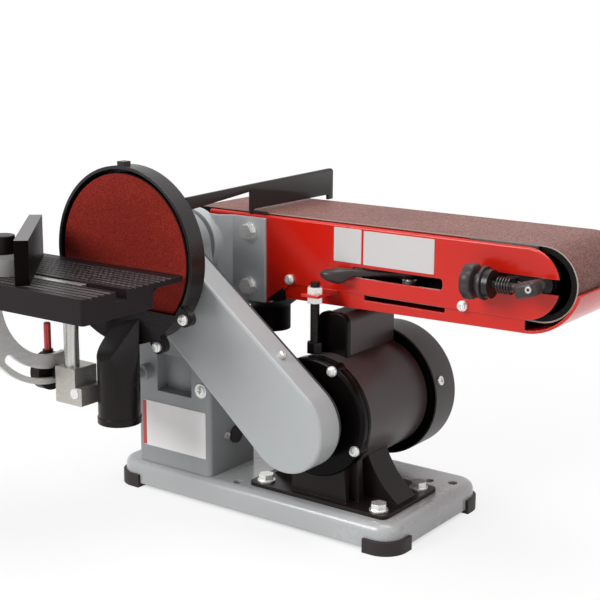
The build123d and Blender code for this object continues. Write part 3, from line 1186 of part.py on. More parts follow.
def table():
    """The ribbed table with its mitre slot, the slotted trunnion and the tilt pivot."""
    under = TABLE_TOP - TABLE_PLATE
    skirt = TABLE_TOP - TABLE_PLATE - TABLE_SKIRT
    across = (TABLE_LEFT, TABLE_RIGHT)
    top = block(across, (TABLE_FRONT, TABLE_REAR), (under, TABLE_TOP))
    top = fillet(top.edges().filter_by(Axis.Z), TABLE_CORNER)
    back = TABLE_REAR - TABLE_SKIRT_BACK
    wall = TABLE_WALL
    walls = block(across, (TABLE_FRONT, back), (skirt, under))
    walls = fillet(walls.edges().filter_by(Axis.Z), TABLE_CORNER)
    walls -= block((TABLE_LEFT + wall, TABLE_RIGHT - wall), (TABLE_FRONT + wall, back - wall), (skirt, under))
    walls -= block((TABLE_LEFT + wall, TABLE_RIGHT - wall), (back - wall, back), (skirt, under - GUSSET / 2))
    body = top + walls
    channel = SLOT_WIDTH / 2 + SLOT_WALL
    floor = TABLE_TOP - SLOT_DEPTH
    body += block(across, (SLOT_Y - channel, SLOT_Y + channel), (floor - SLOT_WALL, under))
    body -= block(across, (SLOT_Y - SLOT_WIDTH / 2, SLOT_Y + SLOT_WIDTH / 2), (floor, TABLE_TOP))
    for (first, last), edge, way in ((GROOVES_BEHIND, TABLE_REAR, -1), (GROOVES_BEFORE, TABLE_FRONT, 1)):
        for i in range(int((last - first) / GROOVE_PITCH) + 1):
            y = edge + way * (first + i * GROOVE_PITCH)
            width = (y - GROOVE_WIDTH / 2, y + GROOVE_WIDTH / 2)
            body -= block(across, width, (TABLE_TOP - GROOVE_CUT, TABLE_TOP))
    rib = outline((back, under), (back, under - GUSSET / 2), (back + GUSSET, under))
    for x in (TABLE_LEFT + GUSSET_INSET, TABLE_RIGHT - GUSSET_INSET):
        body += slab_x(rib, x - GUSSET_THICK / 2, x + GUSSET_THICK / 2)
    lug = outline((TILT_Y - LUG_RADIUS, under), (TILT_Y + LUG_RADIUS, under), (TILT_Y + LUG_RADIUS, TILT_Z),
                  (TILT_Y - LUG_RADIUS, TILT_Z)) + Pos(TILT_Y, TILT_Z) * Circle(LUG_RADIUS)
    lug -= Pos(TILT_Y, TILT_Z) * Circle(PIN_RADIUS + SEAT)
    inner = POST_EYE + SLIDE
    outer = inner + LUG_THICK
    body += slab_x(lug, POST_X - outer, POST_X - inner) + slab_x(lug, POST_X + inner, POST_X + outer)
    pin = rod_x(PIN_RADIUS, POST_X - outer, POST_X + outer, TILT_Y, TILT_Z)

    half = CLAMP_RADIUS + CLAMP_CLEAR
    plate = sector(TRUNNION_INNER, TRUNNION_OUTER, TRUNNION_FROM, TRUNNION_TO)
    rest = TRUNNION_REST
    plate -= sector(TRUNNION_SLOT - half, TRUNNION_SLOT + half, rest - TRUNNION_TRAVEL, rest)
    for angle in (rest, rest - TRUNNION_TRAVEL):
        plate -= Rot(0, 0, angle) * Pos(TRUNNION_SLOT, 0) * Circle(half)
    trunnion = slab_x(Pos(TILT_Y, TILT_Z) * plate, TRUNNION_LEFT, TRUNNION_X)
    trunnion += block((TRUNNION_LEFT, TRUNNION_X), (TILT_Y - TRUNNION_OUTER, TILT_Y - TRUNNION_INNER),
                      (TILT_Z - LUG_RADIUS, under))
    return {"sanding_table": body, "table_trunnion": trunnion, "table_pivot_pin": pin}


def mitre_gauge():
    """A bar that slides in the table's slot, with a swivelling head and its clamp knob."""
    right = MITRE_X + MITRE_BAR_FRONT
    half = SLOT_WIDTH / 2 - SLIDE
    low = TABLE_TOP - SLOT_DEPTH + SLIDE
    high = low + MITRE_BAR_HEIGHT
    bar = block((right - MITRE_BAR_LENGTH, right), (SLOT_Y - half, SLOT_Y + half), (low, high))
    foot = TABLE_TOP + SLIDE
    body_top = foot + MITRE_BODY
    knob_low = body_top + SLIDE
    stud_top = knob_low + MITRE_KNOB_HEIGHT / 2
    bar += rod_z(MITRE_STUD, high, stud_top, MITRE_X, SLOT_Y)

    fence_back = MITRE_FENCE_FACE - MITRE_FENCE
    keep = Pos(fence_back - MITRE_RADIUS, 0) * Rectangle(2 * MITRE_RADIUS, 2 * MITRE_RADIUS)
    head = slab_z(Circle(MITRE_RADIUS) & keep, foot, body_top)
    head += block((fence_back, MITRE_FENCE_FACE), (-MITRE_FENCE_HALF, MITRE_FENCE_HALF),
                  (foot, foot + MITRE_FENCE_HEIGHT))
    head -= rod_z(MITRE_STUD + RUN, foot, body_top)
    head = Pos(MITRE_X, SLOT_Y, 0) * Rot(0, 0, MITRE_SET) * head
    knob = rod_z(MITRE_KNOB, knob_low, knob_low + MITRE_KNOB_HEIGHT, MITRE_X, SLOT_Y)
    knob = fillet(knob.faces().sort_by(Axis.Z)[-1].edges(), 2 * GAP)
    knob -= rod_z(MITRE_STUD + RUN, knob_low, stud_top + GAP, MITRE_X, SLOT_Y)
    return {"mitre_bar": bar, "mitre_head": head, "mitre_knob": knob}


os.makedirs("parts", exist_ok=True)
place = Pos(ARBOR_X, ARBOR_Y, ARBOR_HEIGHT)
for build in (base, pedestal, power_switch, motor_foot, motor, belt_drive, arbor, ball_bearings,
              disc_guard, belt_arm, sanding_belt,
              belt_dust_port, work_stop, rest_bolt, tension_lever, idler, tracking_spring, table_support, table,
              mitre_gauge):
    for name, piece in build().items():
        export_step(place * piece, f"parts/{name}.step")
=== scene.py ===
"""Belt and disc sander: finishes, fasteners, finer pieces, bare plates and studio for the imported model."""
import json
import math

import bmesh
import bpy
from mathutils import Matrix, Vector


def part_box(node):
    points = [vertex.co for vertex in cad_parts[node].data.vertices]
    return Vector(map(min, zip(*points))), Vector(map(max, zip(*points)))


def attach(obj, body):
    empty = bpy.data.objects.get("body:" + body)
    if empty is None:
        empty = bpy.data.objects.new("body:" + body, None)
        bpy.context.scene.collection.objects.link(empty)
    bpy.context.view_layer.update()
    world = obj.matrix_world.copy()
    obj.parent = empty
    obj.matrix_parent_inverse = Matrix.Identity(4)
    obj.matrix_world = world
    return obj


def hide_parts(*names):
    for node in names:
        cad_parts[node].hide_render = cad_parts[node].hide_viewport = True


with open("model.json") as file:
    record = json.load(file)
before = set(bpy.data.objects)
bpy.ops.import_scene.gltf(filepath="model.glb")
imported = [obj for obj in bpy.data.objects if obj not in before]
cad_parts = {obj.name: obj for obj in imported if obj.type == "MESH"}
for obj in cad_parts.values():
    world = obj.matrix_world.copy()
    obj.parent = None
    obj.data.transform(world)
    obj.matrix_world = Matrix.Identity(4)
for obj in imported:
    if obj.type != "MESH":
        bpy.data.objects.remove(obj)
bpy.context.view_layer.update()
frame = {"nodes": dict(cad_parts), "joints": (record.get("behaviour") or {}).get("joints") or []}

MM = 0.001

# The photograph's camera: focal length in pixels, sensor and eye in millimetres, angles in degrees
PHOTO_SIDE = 600
FOCAL_PIXELS = 1314.29
SENSOR = 36.0
CAMERA_AZIMUTH = 35.83
CAMERA_ELEVATION = 12.61
CAMERA_ROLL = 0.35
CAMERA_EYE = (813.2, -852.1, 221.3)

joints = {joint["name"]: joint for joint in frame["joints"]}
arbor = joints["arbor_spin"]["pos_m"]
ARBOR = Vector((arbor[0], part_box("disc_guard")[0].y, arbor[2]))


def at(x, y, z):
    """A place measured in millimetres from the arbor: along the arm, back from the guard's rim, up."""
    return ARBOR + Vector((x, y, z)) * MM


# Node building


def set_inputs(node, inputs):
    """A node's inputs set to values or linked to sockets."""
    for name, value in inputs.items():
        if isinstance(value, bpy.types.NodeSocket):
            node.id_data.links.new(value, node.inputs[name])
        else:
            node.inputs[name].default_value = value


def add(tree, kind, inputs=None, **settings):
    """A new node with its settings and inputs."""
    node = tree.nodes.new(kind)
    for name, value in settings.items():
        setattr(node, name, value)
    set_inputs(node, inputs or {})
    return node


def result(tree, kind, inputs=None, **settings):
    """The first output of a new node."""
    return add(tree, kind, inputs, **settings).outputs[0]


def maths(tree, operation, first, second=0.0, third=0.0, clamp=False):
    inputs = {0: first, 1: second, 2: third}
    return result(tree, "ShaderNodeMath", inputs, operation=operation, use_clamp=clamp)


def times(tree, first, second):
    return maths(tree, "MULTIPLY", first, second)


def dot(tree, first, second):
    return add(tree, "ShaderNodeVectorMath", {0: first, 1: second}, operation="DOT_PRODUCT").outputs["Value"]


def weighed(tree, first, second, share):
    """A share of the first value, and the rest of the second."""
    return maths(tree, "ADD", times(tree, first, share), times(tree, second, 1 - share))


def spread(tree, value, low, high, to_low=0.0, to_high=1.0):
    """A value stretched from one range to another."""
    return add(tree, "ShaderNodeMapRange", {"Value": value, "From Min": low, "From Max": high,
                                            "To Min": to_low, "To Max": to_high}).outputs["Result"]


def blend_colours(tree, factor, first, second, mode="MIX"):
    return add(tree, "ShaderNodeMix", {0: factor, 6: first, 7: second}, data_type="RGBA",
               blend_type=mode).outputs[2]


def new_group(name, inputs, outputs, kind="ShaderNodeTree"):
    """An empty group with named inputs, given as (name, kind, value): its tree, inputs and output node."""
    tree = bpy.data.node_groups.new(name, kind)
    for label, sort, value in inputs:
        socket = tree.interface.new_socket(label, in_out="INPUT", socket_type="NodeSocket" + sort)
        if value is not None:
            socket.default_value = value
    for label, sort in outputs:
        tree.interface.new_socket(label, in_out="OUTPUT", socket_type="NodeSocket" + sort)
    return tree, tree.nodes.new("NodeGroupInput").outputs, tree.nodes.new("NodeGroupOutput")


def noise(tree, vector, scale, detail=3.0, roughness=0.55):
    return add(tree, "ShaderNodeTexNoise",
               {"Vector": vector, "Scale": scale, "Detail": detail, "Roughness": roughness}).outputs["Fac"]


def object_place(tree):
    return add(tree, "ShaderNodeTexCoord").outputs["Object"]


def parts_of(tree, vector):
    return add(tree, "ShaderNodeSeparateXYZ", {0: vector}).outputs


def facing_part(tree, axis):
    """How far the surface faces along one of the object's axes."""
    return parts_of(tree, add(tree, "ShaderNodeTexCoord").outputs["Normal"])[axis]


# Shared effects

# Noise scales: fine patches as a multiple of broad ones, and clumps as a multiple of the grains
FINE_TIMES = 14.0
CLUMP_TIMES = 0.25


def uneven_colour_group():
    """A colour that drifts a little over the surface, as paint and plastic do."""
    tree, given, out = new_group("uneven_colour", [
        ("Colour", "Color", (0.5, 0.5, 0.5, 1)), ("Drift", "Float", 0.1), ("Patch Scale", "Float", 9.0)],
        [("Colour", "Color"), ("Patches", "Float")])
    place = object_place(tree)
    broad = noise(tree, place, given["Patch Scale"])
    fine = noise(tree, place, times(tree, given["Patch Scale"], FINE_TIMES))
    patches = weighed(tree, broad, fine, share=0.7)
    shade = maths(tree, "MULTIPLY_ADD", maths(tree, "SUBTRACT", patches, 0.5), given["Drift"], 1.0)
    grey = result(tree, "ShaderNodeCombineColor", {"Red": shade, "Green": shade, "Blue": shade})
    tone = blend_colours(tree, 1.0, given["Colour"], grey, "MULTIPLY")
    set_inputs(out, {"Colour": tone, "Patches": patches})
    return tree


def edge_group():
    """Edges rounded by a small radius, and a mask that is 1 on them and 0 on flat faces."""
    tree, given, out = new_group("soft_edge", [("Radius", "Float", 0.0008), ("Reach", "Float", 0.25)],
                                 [("Normal", "Vector"), ("Edge", "Float")])
    rounded = add(tree, "ShaderNodeBevel", {"Radius": given["Radius"]}, samples=4).outputs["Normal"]
    facing = add(tree, "ShaderNodeNewGeometry").outputs["Normal"]
    turned = maths(tree, "SUBTRACT", 1.0, dot(tree, rounded, facing))
    mask = maths(tree, "DIVIDE", turned, given["Reach"], clamp=True)
    set_inputs(out, {"Normal": rounded, "Edge": mask})
    return tree


def peel_group():
    """The fine waviness of sprayed paint, moulded plastic or a casting's skin."""
    tree, given, out = new_group("skin_grain", [("Grain Scale", "Float", 700.0), ("Pits", "Float", 0.3)],
                                 [("Height", "Float")])
    place = object_place(tree)
    waves = noise(tree, place, given["Grain Scale"], detail=2.0)
    cells = add(tree, "ShaderNodeTexVoronoi", {"Vector": place, "Scale": given["Grain Scale"]})
    pits = times(tree, cells.outputs["Distance"], given["Pits"])
    set_inputs(out, {"Height": maths(tree, "ADD", waves, pits)})
    return tree


def brushed_group():
    """Fine lines along one direction, left by grinding, drawing or turning."""
    tree, given, out = new_group("tool_lines", [
        ("Squeeze", "Vector", (1.0, 1.0, 1.0)), ("Line Scale", "Float", 400.0)], [("Lines", "Float")])
    place = result(tree, "ShaderNodeVectorMath", {0: object_place(tree), 1: given["Squeeze"]},
                   operation="MULTIPLY")
    set_inputs(out, {"Lines": noise(tree, place, given["Line Scale"], detail=4.0, roughness=0.7)})
    return tree


def grit_group():
    """Abrasive grains: bright and dark specks, and the height of the grains."""
    tree, given, out = new_group("abrasive_grit", [("Grain Scale", "Float", 1600.0)],
                                 [("Specks", "Float"), ("Height", "Float")])
    place = object_place(tree)
    grains = add(tree, "ShaderNodeTexVoronoi", {"Vector": place, "Scale": given["Grain Scale"]})
    grain = result(tree, "ShaderNodeSeparateColor", {"Color": grains.outputs["Color"]})
    clumps = noise(tree, place, times(tree, given["Grain Scale"], CLUMP_TIMES))
    height = maths(tree, "SUBTRACT", grain, grains.outputs["Distance"])
    set_inputs(out, {"Specks": weighed(tree, grain, clumps, share=0.6), "Height": height})
    return tree


UNEVEN = uneven_colour_group()
EDGES = edge_group()
SKIN = peel_group()
LINES = brushed_group()
GRIT = grit_group()


def group(tree, shared, inputs):
    return add(tree, "ShaderNodeGroup", inputs, node_tree=shared).outputs


# Finishes

# How far a face turns towards an axis to count as facing it, and stretches that hold most of a noise
FACING = 0.7
MARKS = (0.3, 0.7)
PATCHES = (0.35, 0.65)
SPECKS = (0.2, 0.8)

# Half the width of a rib and of a cut across it, as a share of their pitch
RIB_REACH = 0.17
CUT_REACH = 0.14

FINISHES = {}


def start_material(name):
    """A new finish, kept by its name: its nodes and its shader."""
    material = bpy.data.materials.new(name)
    material.use_nodes = True
    FINISHES[name] = material
    return material.node_tree, material.node_tree.nodes["Principled BSDF"]


def shaded(colour, gain, lift=0.0):
    """A colour made paler or darker."""
    return tuple(min(1.0, part * gain + lift) for part in colour)


def set_tone(tree, shader, tone, edge, wear, worn):
    """A tone as the base colour, with a painted highlight of another colour on its edges."""
    share = times(tree, edge["Edge"], wear)
    set_inputs(shader, {"Base Color": blend_colours(tree, share, tone, (*worn, 1))})


def set_roughness(tree, shader, mask, stretch, low, high):
    """A roughness that goes from low to high with a mask, over a stretch of it."""
    set_inputs(shader, {"Roughness": spread(tree, mask, *stretch, low, high)})


def set_bump(tree, shader, height, strength, distance, **inputs):
    """The surface raised by a height, over a distance in millimetres."""
    inputs |= {"Height": height, "Strength": strength, "Distance": distance * MM}
    set_inputs(shader, {"Normal": result(tree, "ShaderNodeBump", inputs)})


def painted(name, colour, roughness, drift=0.12, worn=None, wear=0.5, rounding=0.8, grain=700, relief=0.12,
            coat=0.0, coat_roughness=0.12, specular=0.5):
    """Paint, plastic or rubber: an uneven colour, rounded edges with a paler painted highlight, and a fine
    grain.
    """
    tree, shader = start_material(name)
    tone = group(tree, UNEVEN, {"Colour": (*colour, 1), "Drift": drift})
    edge = group(tree, EDGES, {"Radius": rounding * MM})
    # Painted highlight: the edges take a paler colour, by default the paint's own colour made paler
    worn = worn or shaded(colour, gain=1.6, lift=0.01)
    set_tone(tree, shader, tone["Colour"], edge, wear, worn)
    set_roughness(tree, shader, tone["Patches"], MARKS, low=roughness - 0.05, high=roughness + 0.05)
    skin = group(tree, SKIN, {"Grain Scale": grain})
    set_bump(tree, shader, skin["Height"], relief, distance=0.2, Normal=edge["Normal"])
    set_inputs(shader, {"Coat Weight": coat, "Coat Roughness": coat_roughness,
                        "Specular IOR Level": specular})
    return tree, shader


def bare_metal(name, colour, roughness, squeeze=(1.0, 1.0, 1.0), lines=500.0, contrast=0.3, metallic=1.0,
               bump_strength=0.15):
    """Ground, drawn or turned metal with fine lines along one direction and a brighter painted highlight on
    its edges.
    """
    tree, shader = start_material(name)
    mark = group(tree, LINES, {"Squeeze": squeeze, "Line Scale": lines})["Lines"]
    dark = shaded(colour, gain=1 - contrast)
    tone = blend_colours(tree, spread(tree, mark, *MARKS), (*dark, 1), (*colour, 1))
    edge = group(tree, EDGES, {"Radius": 0.5 * MM})
    set_tone(tree, shader, tone, edge, wear=0.4, worn=shaded(colour, gain=1.3))
    set_roughness(tree, shader, mark, MARKS, low=roughness + 0.08, high=roughness - 0.06)
    set_bump(tree, shader, mark, bump_strength, distance=0.1, Normal=edge["Normal"])
    set_inputs(shader, {"Metallic": metallic})


def painted_casting(name, colour, roughness, **settings):
    """A grainy painted casting: its nodes, its shader and the colour of its paint."""
    tree, shader = painted(name, colour, roughness, grain=600, relief=0.25, **settings)
    return tree, shader, shader.inputs["Base Color"].links[0].from_socket


def two_tone(name, first, second, normal, level, roughness, top):
    """A casting painted on one side of a plane and bare on the other, with machined top faces."""
    tree, shader, paint = painted_casting(name, first, roughness, specular=0.03)
    behind = maths(tree, "LESS_THAN", dot(tree, object_place(tree), normal), level)
    tone = blend_colours(tree, behind, paint, (*second, 1))
    upward = maths(tree, "GREATER_THAN", facing_part(tree, "Z"), FACING)
    marks = group(tree, LINES, {"Squeeze": (0.1, 1.0, 1.0), "Line Scale": 500.0})["Lines"]
    machined = blend_colours(tree, marks, (*shaded(top, gain=0.8), 1), (*top, 1))
    set_inputs(shader, {"Base Color": blend_colours(tree, upward, tone, machined)})


def lined_casting(name, colour, pale, roughness, spans, pitch, cut_pitch):
    """A dark casting whose top has a painted highlight in pale bands on its ribs, in spans of (low, high,
    first groove, crossed or not).
    """
    tree, shader, paint = painted_casting(
        name, colour, roughness, worn=(0.10, 0.085, 0.088), wear=0.4, rounding=0.5, specular=0.16)
    place = object_place(tree)
    parts = parts_of(tree, place)

    def band(value, period, start, reach):
        wave = maths(tree, "FRACT", maths(tree, "DIVIDE", maths(tree, "SUBTRACT", value, start), period))
        return maths(tree, "LESS_THAN", maths(tree, "ABSOLUTE", maths(tree, "SUBTRACT", wave, 0.5)), reach)

    ribs = 0.0
    for low, high, first, crossed in spans:
        within = times(tree, maths(tree, "GREATER_THAN", parts["Y"], low),
                       maths(tree, "LESS_THAN", parts["Y"], high))
        rib = times(tree, band(parts["Y"], pitch, first, RIB_REACH), within)
        if crossed:
            cut = band(parts["X"], cut_pitch, 0.0, CUT_REACH)
            rib = times(tree, rib, maths(tree, "SUBTRACT", 1.0, cut))
        ribs = maths(tree, "ADD", ribs, rib)
    # Painted highlight: pale bands on the upward faces of the ribs, for the light they catch, patchy by noise
    upward = maths(tree, "GREATER_THAN", facing_part(tree, "Z"), FACING)
    wear = spread(tree, noise(tree, place, scale=60.0), *PATCHES, to_low=0.55)
    worn = times(tree, times(tree, ribs, upward), wear)
    set_inputs(shader, {"Base Color": blend_colours(tree, worn, paint, (*pale, 1))})


def coated_abrasive(name, dark, bright, roughness, grain, backing=None, sheen=0.0, specular=0.2):
    """Bonded grit, with the plain cloth of its backing on the edges where it has one."""
    tree, shader = start_material(name)
    grit = group(tree, GRIT, {"Grain Scale": grain})
    tone = blend_colours(tree, spread(tree, grit["Specks"], *SPECKS), (*dark, 1), (*bright, 1))
    broad = noise(tree, object_place(tree), scale=14.0)
    tone = blend_colours(tree, spread(tree, broad, *PATCHES, to_high=0.35), tone, (*dark, 1))
    if backing:
        across = maths(tree, "ABSOLUTE", facing_part(tree, "Y"))
        tone = blend_colours(tree, maths(tree, "GREATER_THAN", across, FACING), tone, (*backing, 1))
    set_inputs(shader, {"Base Color": tone, "Sheen Weight": sheen, "Sheen Roughness": 0.45,
                        "Specular IOR Level": specular})
    set_roughness(tree, shader, grit["Specks"], SPECKS, low=roughness + 0.1, high=roughness - 0.1)
    set_bump(tree, shader, grit["Height"], strength=0.5, distance=0.3)


# The mitre head: its turn, and how far in front of the swivel its painted fence starts, in millimetres
MITRE_TURN = math.radians(42.0)
FENCE_DEPTH = 17.0
MITRE_NORMAL = (math.cos(MITRE_TURN), math.sin(MITRE_TURN), 0.0)
mitre_axis = Vector(joints["mitre_swivel"]["pos_m"])
FENCE_BACK = mitre_axis.dot(Vector(MITRE_NORMAL)) + FENCE_DEPTH * MM

# The table's ribs: their pitch, that of the cuts across them, and their spans back from the guard's rim
RIB_PITCH = 7.2
CUT_PITCH = 6.0
RIB_SPANS = ((-71.0, -17.0, -18.0, True), (-121.5, -92.0, -121.0, False))
TABLE_RIBS = [(*(at(0, edge, 0).y for edge in edges), crossed) for *edges, crossed in RIB_SPANS]


def make_finishes():
    """Every finish of the machine."""
    # The paler colours given for the edges below are painted highlights
    painted("base_grey_paint", (0.4, 0.41, 0.415), 0.26, rounding=1.5, grain=900, relief=0.08, coat=0.25)
    painted("cover_grey_paint", (0.37, 0.385, 0.39), 0.34, rounding=1.2, grain=900)
    painted("tray_dark_paint", (0.05, 0.05, 0.052), 0.45, grain=900, specular=0.3)
    painted("column_grey_paint", (0.29, 0.302, 0.308), 0.42, rounding=1.2, grain=420, relief=0.3)
    painted("bracket_blue_grey_paint", (0.46, 0.475, 0.49), 0.34, worn=(0.7, 0.72, 0.74), wear=0.7,
            rounding=1.8)
    painted("arm_red_paint", (0.55, 0.011, 0.004), 0.2, drift=0.08, worn=(0.86, 0.24, 0.19), rounding=1.3,
            grain=520, relief=0.05, coat=0.15, coat_roughness=0.08, specular=0.32)
    painted("black_satin_paint", (0.012, 0.009, 0.009), 0.28, worn=(0.1, 0.09, 0.09), wear=0.35,
            specular=0.35)
    painted("cowl_black_paint", (0.032, 0.026, 0.026), 0.42, worn=(0.1, 0.09, 0.09), wear=0.3, specular=0.4)
    painted("bell_gloss_black", (0.003, 0.002, 0.002), 0.22, worn=(0.03, 0.027, 0.027), wear=0.3, grain=500,
            relief=0.1, specular=0.08)
    painted("barrel_black_paint", (0.052, 0.038, 0.038), 0.36, worn=(0.06, 0.05, 0.05), wear=0.3, grain=500,
            specular=0.3)
    painted("motor_foot_casting", (0.014, 0.009, 0.009), 0.36, worn=(0.08, 0.066, 0.066), grain=380,
            relief=0.4, specular=0.16)
    lined_casting("table_dark_casting", (0.01, 0.007, 0.008), (0.34, 0.315, 0.315), 0.42, TABLE_RIBS,
                  RIB_PITCH * MM, CUT_PITCH * MM)
    two_tone("mitre_casting", (0.003, 0.002, 0.002), (0.4, 0.39, 0.38), MITRE_NORMAL, FENCE_BACK,
             roughness=0.4, top=(0.19, 0.185, 0.185))
    painted("work_stop_black", (0.024, 0.018, 0.018), 0.34, worn=(0.16, 0.14, 0.14), rounding=0.5,
            specular=0.3)
    painted("moulded_black_plastic", (0.01, 0.007, 0.007), 0.36, worn=(0.07, 0.06, 0.06), wear=0.35,
            grain=900, relief=0.2, specular=0.14)
    painted("belt_port_black_plastic", (0.006, 0.004, 0.004), 0.6, worn=(0.03, 0.026, 0.026), wear=0.3,
            grain=900, relief=0.2, specular=0.05)
    painted("shroud_black_plastic", (0.009, 0.006, 0.006), 0.26, worn=(0.08, 0.066, 0.068), wear=0.4,
            rounding=0.6, grain=500, relief=0.1, specular=0.18)
    painted("knob_grey_plastic", (0.045, 0.034, 0.034), 0.36, worn=(0.12, 0.1, 0.1), wear=0.4, rounding=0.5,
            grain=900, relief=0.2, specular=0.25)
    painted("lever_dark_plastic", (0.035, 0.024, 0.024), 0.32, wear=0.2, specular=0.3)
    painted("foot_rubber", (0.024, 0.018, 0.018), 0.55, worn=(0.08, 0.066, 0.066), rounding=1.2, grain=500,
            relief=0.3, specular=0.3)
    painted("red_grip_plastic", (0.52, 0.02, 0.018), 0.3, coat=0.3)
    painted("green_button_plastic", (0.03, 0.28, 0.09), 0.32, coat=0.3)
    # One label white in two copies: painted darker on the arm's plates and paler on the column's, for the
    # light each gets
    painted("arm_plate_white", (0.55, 0.53, 0.525), 0.34, drift=0.05, worn=(0.45, 0.43, 0.42), rounding=0.3,
            grain=900, relief=0.05)
    painted("column_plate_white", (0.88, 0.86, 0.855), 0.34, drift=0.05, worn=(0.6, 0.58, 0.57),
            rounding=0.3, grain=900, relief=0.05)
    painted("plate_bar_red", (0.52, 0.06, 0.05), 0.34, drift=0.06, rounding=0.3)
    bare_metal("drawn_steel", (0.66, 0.65, 0.62), 0.28, squeeze=(1, 1, 0.06), metallic=0.85)
    bare_metal("sawn_steel_block", (0.52, 0.5, 0.46), 0.4, squeeze=(1, 0.3, 1), lines=300, contrast=0.2,
               metallic=0.7)
    bare_metal("ground_steel_plate", (0.78, 0.77, 0.745), 0.42, squeeze=(1, 0.25, 1), lines=260,
               contrast=0.2, metallic=0.45)
    bare_metal("bright_zinc", (0.82, 0.82, 0.8), 0.24, lines=1200, contrast=0.1, metallic=0.6,
               bump_strength=0.02)
    bare_metal("blackened_steel", (0.03, 0.027, 0.027), 0.36, lines=300)
    bare_metal("spring_wire", (0.07, 0.064, 0.064), 0.26, lines=300)
    # Painted shade: the disc plate and the drums near black, for the deep shade at the disc's rim and at the
    # idler's end
    bare_metal("near_black_shade_metal", (0.016, 0.014, 0.014), 0.45, squeeze=(1, 0.2, 1))
    bare_metal("turned_aluminium", (0.66, 0.66, 0.65), 0.3, squeeze=(1, 0.2, 1))
    bare_metal("laminated_core", (0.3, 0.29, 0.28), 0.4, squeeze=(0.1, 1, 0.1), lines=900)
    coated_abrasive("disc_grit", (0.14, 0.009, 0.006), (0.29, 0.028, 0.017), 0.66, 1600, specular=0.08)
    coated_abrasive("belt_grit", (0.085, 0.024, 0.018), (0.28, 0.115, 0.092), 0.55, 1100,
                    backing=(0.35, 0.31, 0.27), sheen=0.08)
    painted("drive_belt_rubber", (0.014, 0.014, 0.014), 0.6, grain=800)


NODE_FINISH = {
    "base_grey_paint": ["base_plate"],
    "cover_grey_paint": ["pulley_cover"],
    "tray_dark_paint": ["cover_back_plate"],
    "column_grey_paint": ["pedestal"],
    "bracket_blue_grey_paint": ["arm_bracket"],
    "arm_red_paint": ["arm_frame", "arm_guard"],
    "black_satin_paint": ["disc_guard", "idler_fork"],
    "cowl_black_paint": ["fan_cowl"],
    "barrel_black_paint": ["motor_barrel", "capacitor_box"],
    "bell_gloss_black": ["motor_front_bell", "motor_rear_bell", "capacitor_cap"],
    "motor_foot_casting": ["motor_foot"],
    "table_dark_casting": ["sanding_table"],
    "mitre_casting": ["mitre_head"],
    "work_stop_black": ["work_stop"],
    "belt_port_black_plastic": ["belt_dust_port"],
    "moulded_black_plastic": ["switch_body", "tilt_lever", "mitre_knob", "cooling_fan"],
    "shroud_black_plastic": ["dust_shroud"],
    "knob_grey_plastic": ["tracking_knob", "tracking_block"],
    "lever_dark_plastic": ["tension_lever"],
    "foot_rubber": ["corner_feet"],
    "red_grip_plastic": ["tilt_lever_grip", "stop_button"],
    "green_button_plastic": ["start_button"],
    "sawn_steel_block": ["table_block"],
    "drawn_steel": ["table_post", "table_bar", "arbor_shaft", "idler_axle", "lever_pin", "table_pivot_pin",
                    "mitre_bar", "ball_bearings"],
    "ground_steel_plate": ["table_trunnion"],
    "bright_zinc": ["motor_bolts", "arm_bolts", "casing_screws", "shroud_screws", "rest_nuts"],
    "blackened_steel": ["clamp_bolt", "rest_bolt"],
    "spring_wire": ["tracking_spring"],
    "turned_aluminium": ["arbor_pulley", "motor_pulley"],
    "near_black_shade_metal": ["disc_plate", "drive_drum", "idler_drum"],
    "laminated_core": ["motor_stator", "motor_rotor"],
    "disc_grit": ["abrasive_disc"],
    "belt_grit": ["sanding_belt"],
    "drive_belt_rubber": ["drive_belt"],
}


def finish_nodes():
    for finish, names in NODE_FINISH.items():
        for name in names:
            mesh = frame["nodes"][name].data
            mesh.materials.clear()
            mesh.materials.append(FINISHES[finish])


# Repeated small shapes

# The fold in radians past which an edge is sharp, and the seed of the screws' turns
FOLD = 0.6
SPIN_SEED = 5

# How close points of a solid or of a new piece are merged, and how close to a solid's end its flat face lies
MERGE = 0.01 * MM
PIECE_MERGE = 0.005 * MM
FLAT = 0.02 * MM


def carried(tree, name, kind):
    """A value that each place carries."""
    return result(tree, "GeometryNodeInputNamedAttribute", {"Name": name}, data_type=kind)


def set_on_places(tree, given, out, shape):
    """Stands a shape of unit size on every place, turned to its facing, as one mesh of one finish."""
    upright = result(tree, "FunctionNodeAlignRotationToVector",
                     {"Vector": carried(tree, "facing", "FLOAT_VECTOR")}, axis="Z")
    angle = add(tree, "FunctionNodeRandomValue", {2: 0.0, 3: math.pi, 8: SPIN_SEED}, data_type="FLOAT")
    spin = result(tree, "FunctionNodeAxisAngleToRotation", {"Axis": (0, 0, 1), "Angle": angle.outputs[1]})
    turned = result(tree, "FunctionNodeRotateRotation", {"Rotation": upright, "Rotate By": spin},
                    rotation_space="LOCAL")
    many = result(tree, "GeometryNodeInstanceOnPoints", {"Points": given["Places"], "Instance": shape,
                  "Rotation": turned, "Scale": carried(tree, "size", "FLOAT")})
    whole = result(tree, "GeometryNodeRealizeInstances", {"Geometry": many})
    whole = result(tree, "GeometryNodeSetShadeSmooth", {"Geometry": whole, "Shade Smooth": True})
    fold = maths(tree, "GREATER_THAN", result(tree, "GeometryNodeInputMeshEdgeAngle"), FOLD)
    whole = result(tree, "GeometryNodeSetShadeSmooth",
                   {"Geometry": whole, "Selection": fold, "Shade Smooth": False}, domain="EDGE")
    finished = result(tree, "GeometryNodeSetMaterial", {"Geometry": whole, "Material": given["Finish"]})
    set_inputs(out, {"Geometry": finished})


def shape_tree(name, inputs):
    return new_group(name, [("Places", "Geometry", None), *inputs, ("Finish", "Material", None)],
                     [("Geometry", "Geometry")], "GeometryNodeTree")


def lifted(tree, mesh, height):
    up = result(tree, "ShaderNodeCombineXYZ", {"Z": height})
    return result(tree, "GeometryNodeTransform", {"Geometry": mesh, "Translation": up})


